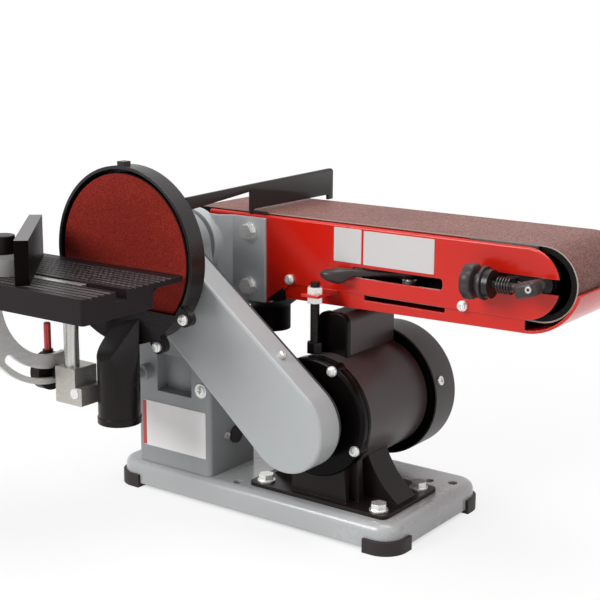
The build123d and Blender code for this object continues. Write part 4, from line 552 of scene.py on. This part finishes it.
def pan_screw_tree():
    """Domed screw heads of radius 1 with a cross recess."""
    tree, given, out = shape_tree("pan_head_screws", [
        ("Height", "Float", 0.6), ("Dome", "Float", 0.24), ("Recess Width", "Float", 0.28),
        ("Recess Length", "Float", 1.1), ("Recess Depth", "Float", 0.4)])
    drum = result(tree, "GeometryNodeMeshCylinder", {
        "Vertices": 32, "Side Segments": 2, "Fill Segments": 6, "Radius": 1.0, "Depth": given["Height"]},
        fill_type="TRIANGLE_FAN")
    parts = parts_of(tree, result(tree, "GeometryNodeInputPosition"))
    across = maths(tree, "ADD", times(tree, parts[0], parts[0]), times(tree, parts[1], parts[1]))
    above_middle = maths(tree, "GREATER_THAN", parts[2], 0.01)
    fall = times(tree, times(tree, across, above_middle), given["Dome"])
    down = result(tree, "ShaderNodeCombineXYZ", {"Z": times(tree, fall, -1.0)})
    head = result(tree, "GeometryNodeSetPosition", {"Geometry": drum, "Offset": down})
    head = lifted(tree, head, times(tree, given["Height"], 0.5))
    bars = add(tree, "GeometryNodeJoinGeometry")
    deep = times(tree, given["Recess Depth"], 2.0)
    for along, wide in (("Recess Length", "Recess Width"), ("Recess Width", "Recess Length")):
        size = result(tree, "ShaderNodeCombineXYZ", {"X": given[along], "Y": given[wide], "Z": deep})
        bar = result(tree, "GeometryNodeMeshCube", {"Size": size})
        set_inputs(bars, {0: lifted(tree, bar, given["Height"])})
    cut = result(tree, "GeometryNodeMeshBoolean",
                 {"Mesh 1": head, "Mesh 2": bars.outputs[0], "Self Intersection": True},
                 operation="DIFFERENCE", solver="EXACT")
    set_on_places(tree, given, out, cut)
    return tree


def washer_tree():
    """Flat rings of outer radius 1."""
    tree, given, out = shape_tree("flat_washers", [("Hole", "Float", 0.6), ("Thickness", "Float", 0.12)])
    middle = times(tree, maths(tree, "ADD", given["Hole"], 1.0), 0.5)
    ring = result(tree, "GeometryNodeCurvePrimitiveCircle", {"Resolution": 40, "Radius": middle})
    width = maths(tree, "SUBTRACT", 1.0, given["Hole"])
    band = result(tree, "GeometryNodeCurvePrimitiveQuadrilateral",
                  {"Width": width, "Height": given["Thickness"]})
    washer = result(tree, "GeometryNodeCurveToMesh", {"Curve": ring, "Profile Curve": band})
    set_on_places(tree, given, out, lifted(tree, washer, times(tree, given["Thickness"], 0.5)))
    return tree


def thread_tree():
    """A screw thread round a shank of radius 1."""
    tree, given, out = shape_tree("screw_thread", [
        ("Length", "Float", 12.0), ("Pitch", "Float", 0.4), ("Crest", "Float", 0.09)])
    turns = maths(tree, "DIVIDE", given["Length"], given["Pitch"])
    coil = result(tree, "GeometryNodeCurveSpiral", {"Resolution": 24, "Rotations": turns, "Start Radius": 1.0,
                                                    "End Radius": 1.0, "Height": given["Length"]})
    crest = result(tree, "GeometryNodeCurvePrimitiveCircle", {"Resolution": 6, "Radius": given["Crest"]})
    thread = result(tree, "GeometryNodeCurveToMesh",
                    {"Curve": coil, "Profile Curve": crest, "Fill Caps": True})
    set_on_places(tree, given, out, thread)
    return tree


PAN_SCREWS = pan_screw_tree()
WASHERS = washer_tree()
THREAD = thread_tree()


def new_object(name, data):
    made = bpy.data.objects.new(name, data)
    bpy.context.scene.collection.objects.link(made)
    return made


def ride_as(name, mesh, body):
    piece = new_object(name, mesh)
    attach(piece, body)
    return piece


def repeat_piece(name, tree, places, body, slot, finish, **values):
    """A tree's shapes on a list of (place, facing, size), kept as one plain mesh that rides on a body."""
    mesh = bpy.data.meshes.new(name + "_places")
    mesh.from_pydata([place for place, facing, size in places], [], [])
    mesh.attributes.new("facing", "FLOAT_VECTOR", "POINT")
    mesh.attributes.new("size", "FLOAT", "POINT")
    for index, (place, facing, size) in enumerate(places):
        mesh.attributes["facing"].data[index].vector = facing
        mesh.attributes["size"].data[index].value = size
    source = new_object(name + "_places", mesh)
    repeats = source.modifiers.new("repeats", "NODES")
    repeats.node_group = tree
    sockets = {socket.name: socket.identifier for socket in tree.interface.items_tree
               if socket.in_out == "INPUT"}
    repeats[sockets["Finish"]] = FINISHES[finish]
    for label, value in values.items():
        repeats[sockets[label.replace("_", " ").title()]] = value
    ready = source.evaluated_get(bpy.context.evaluated_depsgraph_get())
    plain = bpy.data.meshes.new_from_object(ready)
    plain.name = name
    plain.materials.clear()
    plain.materials.append(FINISHES[finish])
    for polygon in plain.polygons:
        polygon.material_index = 0
    bpy.data.objects.remove(source)
    return ride_as(name, plain, body)


def solids_of(name):
    """The points of each separate solid in a CAD node, in a fixed order."""
    shape = bmesh.new()
    shape.from_mesh(frame["nodes"][name].data)
    bmesh.ops.remove_doubles(shape, verts=shape.verts, dist=MERGE)
    left, found = set(shape.verts), []
    while left:
        walk, solid = [left.pop()], []
        while walk:
            vert = walk.pop()
            solid.append(vert.co.copy())
            for edge in vert.link_edges:
                other = edge.other_vert(vert)
                if other in left:
                    left.remove(other)
                    walk.append(other)
        found.append(solid)
    shape.free()
    return sorted(found, key=lambda solid: [round(min(point[i] for point in solid), 5) for i in range(3)])


def head_of(solid, facing):
    """The flat end that a solid turns towards a direction: its middle, its radius and its corners' count."""
    top = max(point.dot(facing) for point in solid)
    rim = [point for point in solid if top - point.dot(facing) < FLAT]
    middle = sum(rim, Vector()) / len(rim)
    return middle, max((point - middle).length for point in rim), len(rim)


FRONT = Vector((0, -1, 0))
RIGHT = Vector((1, 0, 0))
UP = Vector((0, 0, 1))

# Sizes and places of the scene's own pieces, in millimetres from the arbor, with angles in degrees

# Small screws, a washer and the plug of the column's side hole
COLUMN_SCREW = (40, 60, -134)
COLUMN_SCREW_RADIUS = 4.6
COLUMN_WASHER_RADIUS = 7
SIDE_SCREW = (85, -182.5)
SIDE_SCREW_RADIUS = 3.6
PLUG_PLACE = (98, -184)
PLUG_RADIUS = 8.5
COWL_SCREW_ANGLE = 15.5
COWL_SCREW_INSET = 9
COWL_SCREW_RADIUS = 4.4

# A flat end with more corners than this is round; crowns, discs and rings have sizes in their own radii
ROUND_ABOVE = 8
CROWN = {"height": 0.4, "dome": 0.16, "recess_depth": 0.34}
PLUG = {"hole": 0.02, "thickness": 0.3}
BAR_END = {"hole": 0.02, "thickness": 0.08}
COLLAR = {"hole": 0.84, "thickness": 0.15}
AXLE_RING = {"hole": 0.45, "thickness": 0.5}

# The stop's bolt: its head's height, its thread's radius, and the thread's gap at the end in radii
REST_HEAD = 10
REST_RADIUS = 4
THREAD_GAP = 0.1

# Bare plates: name, sides, face, bottom and top, body, slot, finish, and any own corner, thickness and crown
PLATES = (("arm_plate_small", (154.7, 184.2), 112, (-3, 28), "arm", "aluminium", "arm_plate_white"),
          ("arm_plate_long", (186.5, 258.8), 112, (-3.2, 27.5), "arm", "aluminium", "arm_plate_white"),
          ("column_plate", (-34, 45.5), 60, (-201, -155), "base", "aluminium", "column_plate_white"),
          ("column_plate_bar", (-34, -29.5), 59.44, (-200.5, -155.5), "base", "red_paint", "plate_bar_red",
           0.6, 0.1, 0.05))
CORNER_STEPS = 5

# The tension lever: its rest angle, its height, its sections' sides and squareness, and along it
# (reach, drop, half width, half thickness)
LEVER_ANGLE = 60
LEVER_HEIGHT = -11
LEVER_SIDES = 16
LEVER_POWER = 0.8
LEVER_SECTIONS = ((-9, 0, 2, 4), (-7, 0, 6, 4.8), (0, 0, 9, 5), (7, 0, 6, 4.8), (11, 0, 3.8, 3.4),
                  (20, 0, 3.8, 3.4), (46, 0, 3.8, 3.4), (52, 0.4, 3.8, 3.8), (56, 1.6, 5.4, 5.6),
                  (61, 3.2, 7.6, 7.4), (66, 3.4, 8.6, 7.2), (72, 2.8, 8, 5.8), (76, 2.2, 6.4, 4.6),
                  (79, 1.8, 4, 2.8), (80, 1.7, 1.6, 1.2))

# The work stop: its sheet's outline seen from the end, its two faces, and its foot as (middle, size)
STOP_OUTLINE = ((20.6, 56), (110, 58.3), (242.5, 61), (245, 60.6), (246.9, 59.4), (247.6, 57.4),
                (247.6, 29.5), (239, 29.5), (239, 34.5), (117.5, 34.5), (117.5, 30.6), (112, 30.6),
                (112, 52.2), (108, 51.2), (20.6, 44))
STOP_SHEET = (57, 60)
STOP_FOOT = ((67.25, 17.5), (115.75, 3.5), (32.1, 3))

# The tracking knob: (distance along, radius), its lobes and their dip down to its hub, and its screw
KNOB_PROFILE = ((0, 12), (0.3, 13), (1.2, 14.6), (2.6, 15.4), (8.4, 15.4), (9.6, 14.8), (10.4, 13.4),
                (10.6, 12.4), (10.8, 9.4), (11.4, 8), (12.6, 7.4), (15.8, 7.2), (15.9, 3))
KNOB_SIDES = 120
KNOB_LOBES = 8
KNOB_DIP = 0.06
KNOB_HUB = 10
KNOB_SCREW = 3

# The washer by the knob's collar, the slanted end block, and the ring of the axle's end on it
COLLAR_WASHER = 17
COLLAR_RADIUS = 14.2
BLOCK_SLANT = 16
BLOCK_SIZE = (19, 18, 12.5)
BLOCK_ROUNDING = 3.6
AXLE_PLACE = (4.5, 1.5)
AXLE_RADIUS = 2.8

# A black sheet of painted shade under the belt by the idler, filling the dark gap there: its outline seen
# from the front and its two faces
SHADE_SHEET_OUTLINE = ((290, 13.5), (340, 13.5), (354, 20), (354, 31.6), (290, 31.6))
SHADE_SHEET_FACES = (114.4, 117.4)

# The tray behind the lever's slot: its section seen from the end and its two ends
TRAY_SECTION = ((113.6, -29.4), (152, -29.4), (152, -13.4), (150.5, -13.4), (150.5, -27.9), (113.6, -27.9))
TRAY_ENDS = (160, 276)

# The belt port's lip on the arm's lower corner: its outline seen from the front and its two faces
LIP_OUTLINE = ((78.2, -49.8), (97.3, -35.3), (99.6, -47.6), (90, -49.6))
LIP_FACES = (111.3, 114.8)

# The shroud: its plate's two faces, their slack and its reach, and where the solid's own spout lies
SHROUD_FACES = (-2.5, 0)
SHROUD_SLACK = 0.05
PLATE_REACH = 81.7
SPOUT_SIDES = (-20, 30)
SPOUT_TOP = -50
SPOUT_FOOT = -86

# The dust port: its axis, (height, radius) down its side and up its bore, how far down its back is flat and
# where, and points of the two planes that cut its top
PORT_AXIS = (6, -15)
PORT_PROFILE = ((-45, 19.5), (-84, 19.5), (-84.6, 19.5), (-145, 19.5), (-145.4, 20.3), (-150.9, 20.3),
                (-151.3, 19.9), (-151.3, 17.2), (-150.9, 17), (-118, 17))
PORT_STEP = -84.3
PORT_BACK = -1
PORT_CORNER = (14, -33, -86)
PORT_RIDGE = (21, -2.5, -54)
PORT_LEFT = (-9, -27.5, -88.5)
PORT_RIGHT = (25, -20, -110)


# Fasteners


def screw_crowns(names):
    """A place on the flat end of each round screw head in some CAD nodes."""
    motor = joints["motor_spin"]["pos_m"]
    drive = Vector((motor[0] - arbor[0], 0, motor[2] - arbor[2])).normalized()
    across = Vector((-drive.z, 0, drive.x))
    crowns = []
    for solid in [solid for name in names for solid in solids_of(name)]:
        side = across if sum((point - ARBOR).dot(across) for point in solid) > 0 else -across
        facing = max((FRONT, side), key=lambda way: head_of(solid, way)[2])
        middle, radius, corners = head_of(solid, facing)
        if corners > ROUND_ABOVE:
            crowns.append((middle, facing, radius))
    return crowns


def make_fasteners():
    """Crowns on screw heads, small screws, a washer, a plug, the bar's end and the stop bolt's thread."""
    round_cowl = math.radians(COWL_SCREW_ANGLE)
    outward = Vector((math.cos(round_cowl), 0, math.sin(round_cowl)))
    low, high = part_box("fan_cowl")
    cowl_screw = Vector(joints["motor_spin"]["pos_m"]) + outward * (high.x - low.x) / 2
    cowl_screw.y = low.y + COWL_SCREW_INSET * MM
    column_screw, side_screw, plug = at(*COLUMN_SCREW), at(0, *SIDE_SCREW), at(0, *PLUG_PLACE)
    side_screw.x = plug.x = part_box("pedestal")[1].x
    small = [(cowl_screw, outward, COWL_SCREW_RADIUS * MM), (column_screw, FRONT, COLUMN_SCREW_RADIUS * MM),
             (side_screw, RIGHT, SIDE_SCREW_RADIUS * MM)]
    washers, plugs = [(column_screw, FRONT, COLUMN_WASHER_RADIUS * MM)], [(plug, RIGHT, PLUG_RADIUS * MM)]
    low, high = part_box("table_bar")
    bar_end = (low + high) / 2
    bar_end.y = low.y
    bar_ends = [(bar_end, FRONT, (high.x - low.x) / 2)]
    base_heads, arm_heads = screw_crowns(("casing_screws", "shroud_screws")), screw_crowns(("arm_bolts",))
    zinc, rubber = ("zinc", "bright_zinc"), ("rubber", "foot_rubber")
    for name, tree, places, body, look, shares in (
            ("base_screw_crowns", PAN_SCREWS, base_heads, "base", zinc, CROWN),
            ("arm_screw_crowns", PAN_SCREWS, arm_heads, "arm", zinc, CROWN),
            ("small_screws", PAN_SCREWS, small, "base", zinc, {}),
            ("column_screw_washer", WASHERS, washers, "base", zinc, {}),
            ("column_hole_plug", WASHERS, plugs, "base", rubber, PLUG),
            ("table_bar_end", WASHERS, bar_ends, "base", zinc, BAR_END)):
        repeat_piece(name, tree, places, body, *look, **shares)
    low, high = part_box("rest_bolt")
    shank = (low + high) / 2
    shank.z = low.z + REST_HEAD * MM
    radius = REST_RADIUS * MM
    repeat_piece("rest_bolt_thread", THREAD, [(shank, UP, radius)], "arm", "dark_steel", "blackened_steel",
                 length=(high.z - shank.z) / radius - THREAD_GAP)


# Plates and pieces with a finer form than their solids


def skinned(rings):
    """A shape of faces that join rings of places, closed at both ends."""
    shape = bmesh.new()
    loops = [[shape.verts.new(place) for place in ring] for ring in rings]
    for first, second in zip(loops, loops[1:]):
        for index in range(len(first)):
            after = (index + 1) % len(first)
            shape.faces.new((first[index], first[after], second[after], second[index]))
    shape.faces.new(loops[0][::-1])
    shape.faces.new(loops[-1])
    return shape


def finish_piece(name, shape, body, finish, node=None, edge=0.0, fold=FOLD):
    """A shape as a piece that rides on a body: its folds bevelled or kept sharp, the rest smooth."""
    bmesh.ops.remove_doubles(shape, verts=shape.verts, dist=PIECE_MERGE)
    bmesh.ops.recalc_face_normals(shape, faces=shape.faces)
    if edge:
        sharp = [line for line in shape.edges if line.calc_face_angle(0) > fold]
        bmesh.ops.bevel(shape, geom=sharp, offset=edge * MM, segments=2, affect="EDGES", profile=0.5)
    for face in shape.faces:
        face.smooth = True
    for line in shape.edges:
        line.smooth = line.calc_face_angle(0) < fold
    mesh = bpy.data.meshes.new(name)
    shape.to_mesh(mesh)
    shape.free()
    mesh.materials.append(FINISHES[finish])
    piece = ride_as(name, mesh, body)
    if node:
        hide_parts(node)
    return piece


def bare_plate(name, x, y, z, body, slot, finish, corner=1.2, thick=0.4, crown=0.15):
    """A thin plate with rounded corners and a slightly raised middle, on a face that looks to the front."""
    corners = ((x[1] - corner, z[1] - corner), (x[0] + corner, z[1] - corner),
               (x[0] + corner, z[0] + corner), (x[1] - corner, z[0] + corner))
    rings = []
    for radius, rise in ((corner, 0), (corner, thick), (corner - crown, thick + crown)):
        ring = []
        for turn, (across, up) in enumerate(corners):
            for step in range(CORNER_STEPS + 1):
                angle = math.radians(90 * (turn + step / CORNER_STEPS))
                ring.append(at(across + radius * math.cos(angle), y - rise, up + radius * math.sin(angle)))
        rings.append(ring)
    finish_piece(name, skinned(rings), body, finish)


def round_ring(middle, radius, count=64, lobes=0, dip=0.0, along="z"):
    """Places round a circle, drawn in by a dip between its lobes, or all round where it has none."""
    places = []
    for index in range(count):
        angle = 2 * math.pi * index / count
        reach = radius * (1 - dip * (0.5 + 0.5 * math.cos(lobes * angle)) ** 2)
        side, rise = reach * math.cos(angle), reach * math.sin(angle)
        offset = (side, rise, 0) if along == "z" else (0, side, rise)
        places.append(Vector(middle) + Vector(offset))
    return places


def make_tension_lever():
    """The lever's flat blade through the slot, swelling to a drooping rounded paddle."""
    pivot = Vector(joints["tension_swing"]["pos_m"])
    pivot.z = at(0, 0, LEVER_HEIGHT).z
    angle = math.radians(LEVER_ANGLE)
    ahead = Vector((-math.sin(angle), -math.cos(angle), 0))
    across = Vector((-ahead.y, ahead.x, 0))
    turns = [2 * math.pi * index / LEVER_SIDES for index in range(LEVER_SIDES)]

    def squared(part):
        return math.copysign(abs(part) ** LEVER_POWER, part)

    rings = []
    for reach, drop, wide, thick in LEVER_SECTIONS:
        middle = pivot + ahead * reach * MM - UP * drop * MM
        rings.append([middle + across * squared(math.cos(turn)) * wide * MM
                      + UP * squared(math.sin(turn)) * thick * MM for turn in turns])
    piece = finish_piece("lever_paddle", skinned(rings), "lever", "lever_dark_plastic",
                         "tension_lever", fold=1.6)
    soft = piece.modifiers.new("soft", "SUBSURF")
    soft.levels = soft.render_levels = 2


def make_work_stop():
    """The stop's folded sheet, with a rounded far corner, a tapering tongue and a foot on the arm."""
    shape = skinned([[at(x, y, z) for y, z in STOP_OUTLINE] for x in STOP_SHEET])
    foot = bmesh.ops.create_cube(shape, size=MM)["verts"]
    for vert in foot:
        vert.co = at(*(middle + vert.co[i] / MM * size for i, (middle, size) in enumerate(STOP_FOOT)))
    finish_piece("stop_sheet", shape, "arm", "work_stop_black", "work_stop", edge=0.5)


def make_tracking_end():
    """The lobed knob on its screw, the washer by its collar, and the rounded end block with its ring."""
    low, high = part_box("tracking_knob")
    tip = (low + high) / 2
    tip.x = high.x
    rings = []
    for along, radius in KNOB_PROFILE:
        lobes = KNOB_LOBES if radius > KNOB_HUB else 0
        middle = (low.x + along * MM, tip.y, tip.z)
        rings.append(round_ring(middle, radius * MM, KNOB_SIDES, lobes, KNOB_DIP, "x"))
    rings.append(round_ring(tip, KNOB_SCREW * MM, KNOB_SIDES, along="x"))
    finish_piece("knob_with_screw", skinned(rings), "tracking", "knob_grey_plastic",
                 "tracking_knob")
    collar = (low.x + COLLAR_WASHER * MM, tip.y, tip.z)
    repeat_piece("collar_washer", WASHERS, [(collar, RIGHT, COLLAR_RADIUS * MM)], "fork", "black_plastic",
                 "knob_grey_plastic", **COLLAR)
    low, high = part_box("tracking_block")
    middle = (low + high) / 2
    slant = Matrix.Rotation(math.radians(-BLOCK_SLANT), 3, "Y") @ Matrix.Diagonal(BLOCK_SIZE)
    shape = bmesh.new()
    for vert in bmesh.ops.create_cube(shape, size=1)["verts"]:
        vert.co = middle + slant @ vert.co * MM
    bmesh.ops.bevel(shape, geom=shape.edges, offset=BLOCK_ROUNDING * MM, segments=4, affect="EDGES",
                    profile=0.5)
    finish_piece("axle_end_block", shape, "fork", "knob_grey_plastic", "tracking_block")
    end = middle + Vector((AXLE_PLACE[0], -BLOCK_SIZE[1] / 2, AXLE_PLACE[1])) * MM
    repeat_piece("axle_end_ring", WASHERS, [(end, FRONT, AXLE_RADIUS * MM)], "fork", "zinc", "drawn_steel",
                 **AXLE_RING)


def make_dark_sheets():
    """Black sheets on the arm: a sheet of painted shade under the belt's near edge, and the belt port's lip.
    """
    for name, outline, faces, slot, finish in (
            ("belt_gap_shade_sheet", SHADE_SHEET_OUTLINE, SHADE_SHEET_FACES, "black_paint", "work_stop_black"),
            ("belt_port_lip", LIP_OUTLINE, LIP_FACES, "black_plastic", "belt_port_black_plastic")):
        shape = skinned([[at(x, y, z) for x, z in outline] for y in faces])
        finish_piece(name, shape, "arm", finish, edge=0.4)


def make_lever_tray():
    """The dark bent sheet on the arm's inner face, seen through the lever's slot."""
    shape = skinned([[at(x, y, z) for y, z in TRAY_SECTION] for x in TRAY_ENDS])
    finish_piece("lever_slot_tray", shape, "arm", "belt_port_black_plastic", edge=0.3)


def make_dust_shroud():
    """The shroud's plate and ears, with a round port whose top is cut to a slanting ridge."""
    shape = bmesh.new()
    shape.from_mesh(frame["nodes"]["dust_shroud"].data)
    bmesh.ops.remove_doubles(shape, verts=shape.verts, dist=MERGE)
    front, back = SHROUD_FACES

    def of_spout(vert):
        x, y, z = (vert.co - ARBOR) / MM
        on_face = min(abs(y - front), abs(y - back)) <= SHROUD_SLACK
        of_plate = on_face and math.hypot(x, z) <= PLATE_REACH
        by_port = SPOUT_SIDES[0] < x < SPOUT_SIDES[1] and z < SPOUT_TOP
        return y < front - SHROUD_SLACK or z < SPOUT_FOOT or (by_port and not of_plate)

    spout = [face for face in shape.faces if any(of_spout(vert) for vert in face.verts)]
    bmesh.ops.delete(shape, geom=spout, context="FACES")
    bmesh.ops.holes_fill(shape, edges=[line for line in shape.edges if line.is_boundary])
    flat_back = at(0, PORT_BACK, 0).y
    rings = []
    for height, radius in PORT_PROFILE:
        ring = round_ring(at(*PORT_AXIS, height), radius * MM)
        if height > PORT_STEP:
            ring = [Vector((place.x, min(place.y, flat_back), place.z)) for place in ring]
        rings.append(ring)
    port = skinned(rings)
    corner, ridge = at(*PORT_CORNER), at(*PORT_RIDGE)
    for third, way in ((at(*PORT_LEFT), 1), (at(*PORT_RIGHT), -1)):
        normal = (ridge - corner).cross(third - corner) * way
        bmesh.ops.bisect_plane(port, geom=port.verts[:] + port.edges[:] + port.faces[:], plane_co=corner,
                               plane_no=normal, clear_outer=True)
        bmesh.ops.holes_fill(port, edges=[line for line in port.edges if line.is_boundary])
    spare = bpy.data.meshes.new("port_spare")
    port.to_mesh(spare)
    port.free()
    shape.from_mesh(spare)
    bpy.data.meshes.remove(spare)
    finish_piece("shroud_with_port", shape, "base", "shroud_black_plastic", "dust_shroud")


# Studio, in metres

CLIP = (0.05, 50.0)
FLOOR_RADIUS = 6.0
PAPER = (0.86, 0.86, 0.86, 1)
WHITE = (1, 1, 1, 1)

# Where the floor fades to white, how white it shows before that, and how far in it darkens under the base
FADE = (0.3, 0.8)
NEAR_WHITE = 0.8
UNDER_BASE = 0.02

# The light that the world gives where it isn't seen, and lamps as (name, place, size, power)
FILL = 0.24
AIM = Vector((0.0, 0.0, 0.2))
LAMPS = (("key_lamp", (-0.8, -1.8, 1.3), 1.2, 41.5),
         ("top_lamp", (0.3, 0.3, 1.9), 1.6, 28.0),
         ("side_lamp", (1.9, -0.3, 0.8), 0.9, 4.0))


def make_camera():
    """The camera at the photograph's place, with its small roll."""
    turn, rise, roll = (math.radians(a) for a in (CAMERA_AZIMUTH, CAMERA_ELEVATION, CAMERA_ROLL))
    back = Vector((math.sin(turn) * math.cos(rise), -math.cos(turn) * math.cos(rise), math.sin(rise)))
    right = Vector((math.cos(turn), math.sin(turn), 0))
    up = back.cross(right)
    level_right = math.cos(roll) * right + math.sin(roll) * up
    level_up = math.cos(roll) * up - math.sin(roll) * right
    data = bpy.data.cameras.new("photo_camera")
    data.sensor_width = SENSOR
    data.lens = SENSOR * FOCAL_PIXELS / PHOTO_SIDE
    data.clip_start, data.clip_end = CLIP
    camera = new_object("photo_camera", data)
    axes = Matrix((level_right, level_up, back)).transposed()
    camera.matrix_world = Matrix.Translation(at(*CAMERA_EYE)) @ axes.to_4x4()
    bpy.context.scene.camera = camera


def seen_ray(tree):
    """1 where the eye meets a surface, straight, by a reflection or through glass, and 0 for other light."""
    path = add(tree, "ShaderNodeLightPath").outputs
    mirrored = maths(tree, "MAXIMUM", path["Is Glossy Ray"], path["Is Transmission Ray"])
    return maths(tree, "MAXIMUM", path["Is Camera Ray"], mirrored)


def make_floor():
    """A white sheet under the machine that keeps its shadow and fades into the background."""
    mesh = bpy.data.meshes.new("floor")
    shape = bmesh.new()
    bmesh.ops.create_circle(shape, cap_ends=True, segments=96, radius=FLOOR_RADIUS)
    shape.to_mesh(mesh)
    shape.free()
    floor = new_object("floor", mesh)
    tree = start_material("white_sweep")[0]
    tree.nodes.clear()
    paper = result(tree, "ShaderNodeBsdfDiffuse", {"Color": PAPER})
    glow = result(tree, "ShaderNodeEmission", {"Color": WHITE, "Strength": 1.0})
    place = object_place(tree)
    away = add(tree, "ShaderNodeVectorMath", {0: place}, operation="LENGTH").outputs["Value"]
    share = times(tree, seen_ray(tree), spread(tree, away, *FADE, to_low=NEAR_WHITE))
    low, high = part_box("base_plate")
    middle, half = (low + high) / 2, (high - low) / 2
    parts = parts_of(tree, place)
    offsets = [maths(tree, "ABSOLUTE", maths(tree, "SUBTRACT", parts[i], middle[i])) for i in range(2)]
    outside = [maths(tree, "SUBTRACT", offsets[i], half[i]) for i in range(2)]
    open_floor = spread(tree, maths(tree, "MAXIMUM", *outside), -UNDER_BASE, 0.0)
    share = times(tree, share, open_floor)
    mixed = result(tree, "ShaderNodeMixShader", {0: share, 1: paper, 2: glow})
    add(tree, "ShaderNodeOutputMaterial", {"Surface": mixed})
    mesh.materials.append(FINISHES["white_sweep"])


def make_world():
    """White to the eye and in reflections, and a softer fill for everything else."""
    world = bpy.data.worlds.new("studio")
    bpy.context.scene.world = world
    world.use_nodes = True
    tree = world.node_tree
    tree.nodes.clear()
    strength = spread(tree, seen_ray(tree), 0.0, 1.0, to_low=FILL)
    light = result(tree, "ShaderNodeBackground", {"Color": WHITE, "Strength": strength})
    add(tree, "ShaderNodeOutputWorld", {"Surface": light})


def make_lamp(name, place, size, power):
    data = bpy.data.lights.new(name, "AREA")
    data.shape = "DISK"
    data.size = size
    data.energy = power
    lamp = new_object(name, data)
    lamp.location = place
    lamp.rotation_mode = "QUATERNION"
    lamp.rotation_quaternion = (AIM - Vector(place)).to_track_quat("-Z", "Y")


# Making

make_camera()
make_finishes()
finish_nodes()
make_fasteners()
for plate in PLATES:
    bare_plate(*plate)
make_tension_lever()
make_work_stop()
make_tracking_end()
make_dark_sheets()
make_lever_tray()
make_dust_shroud()
make_floor()
make_world()
for lamp in LAMPS:
    make_lamp(*lamp)

bpy.context.scene.view_settings.view_transform = "Standard"
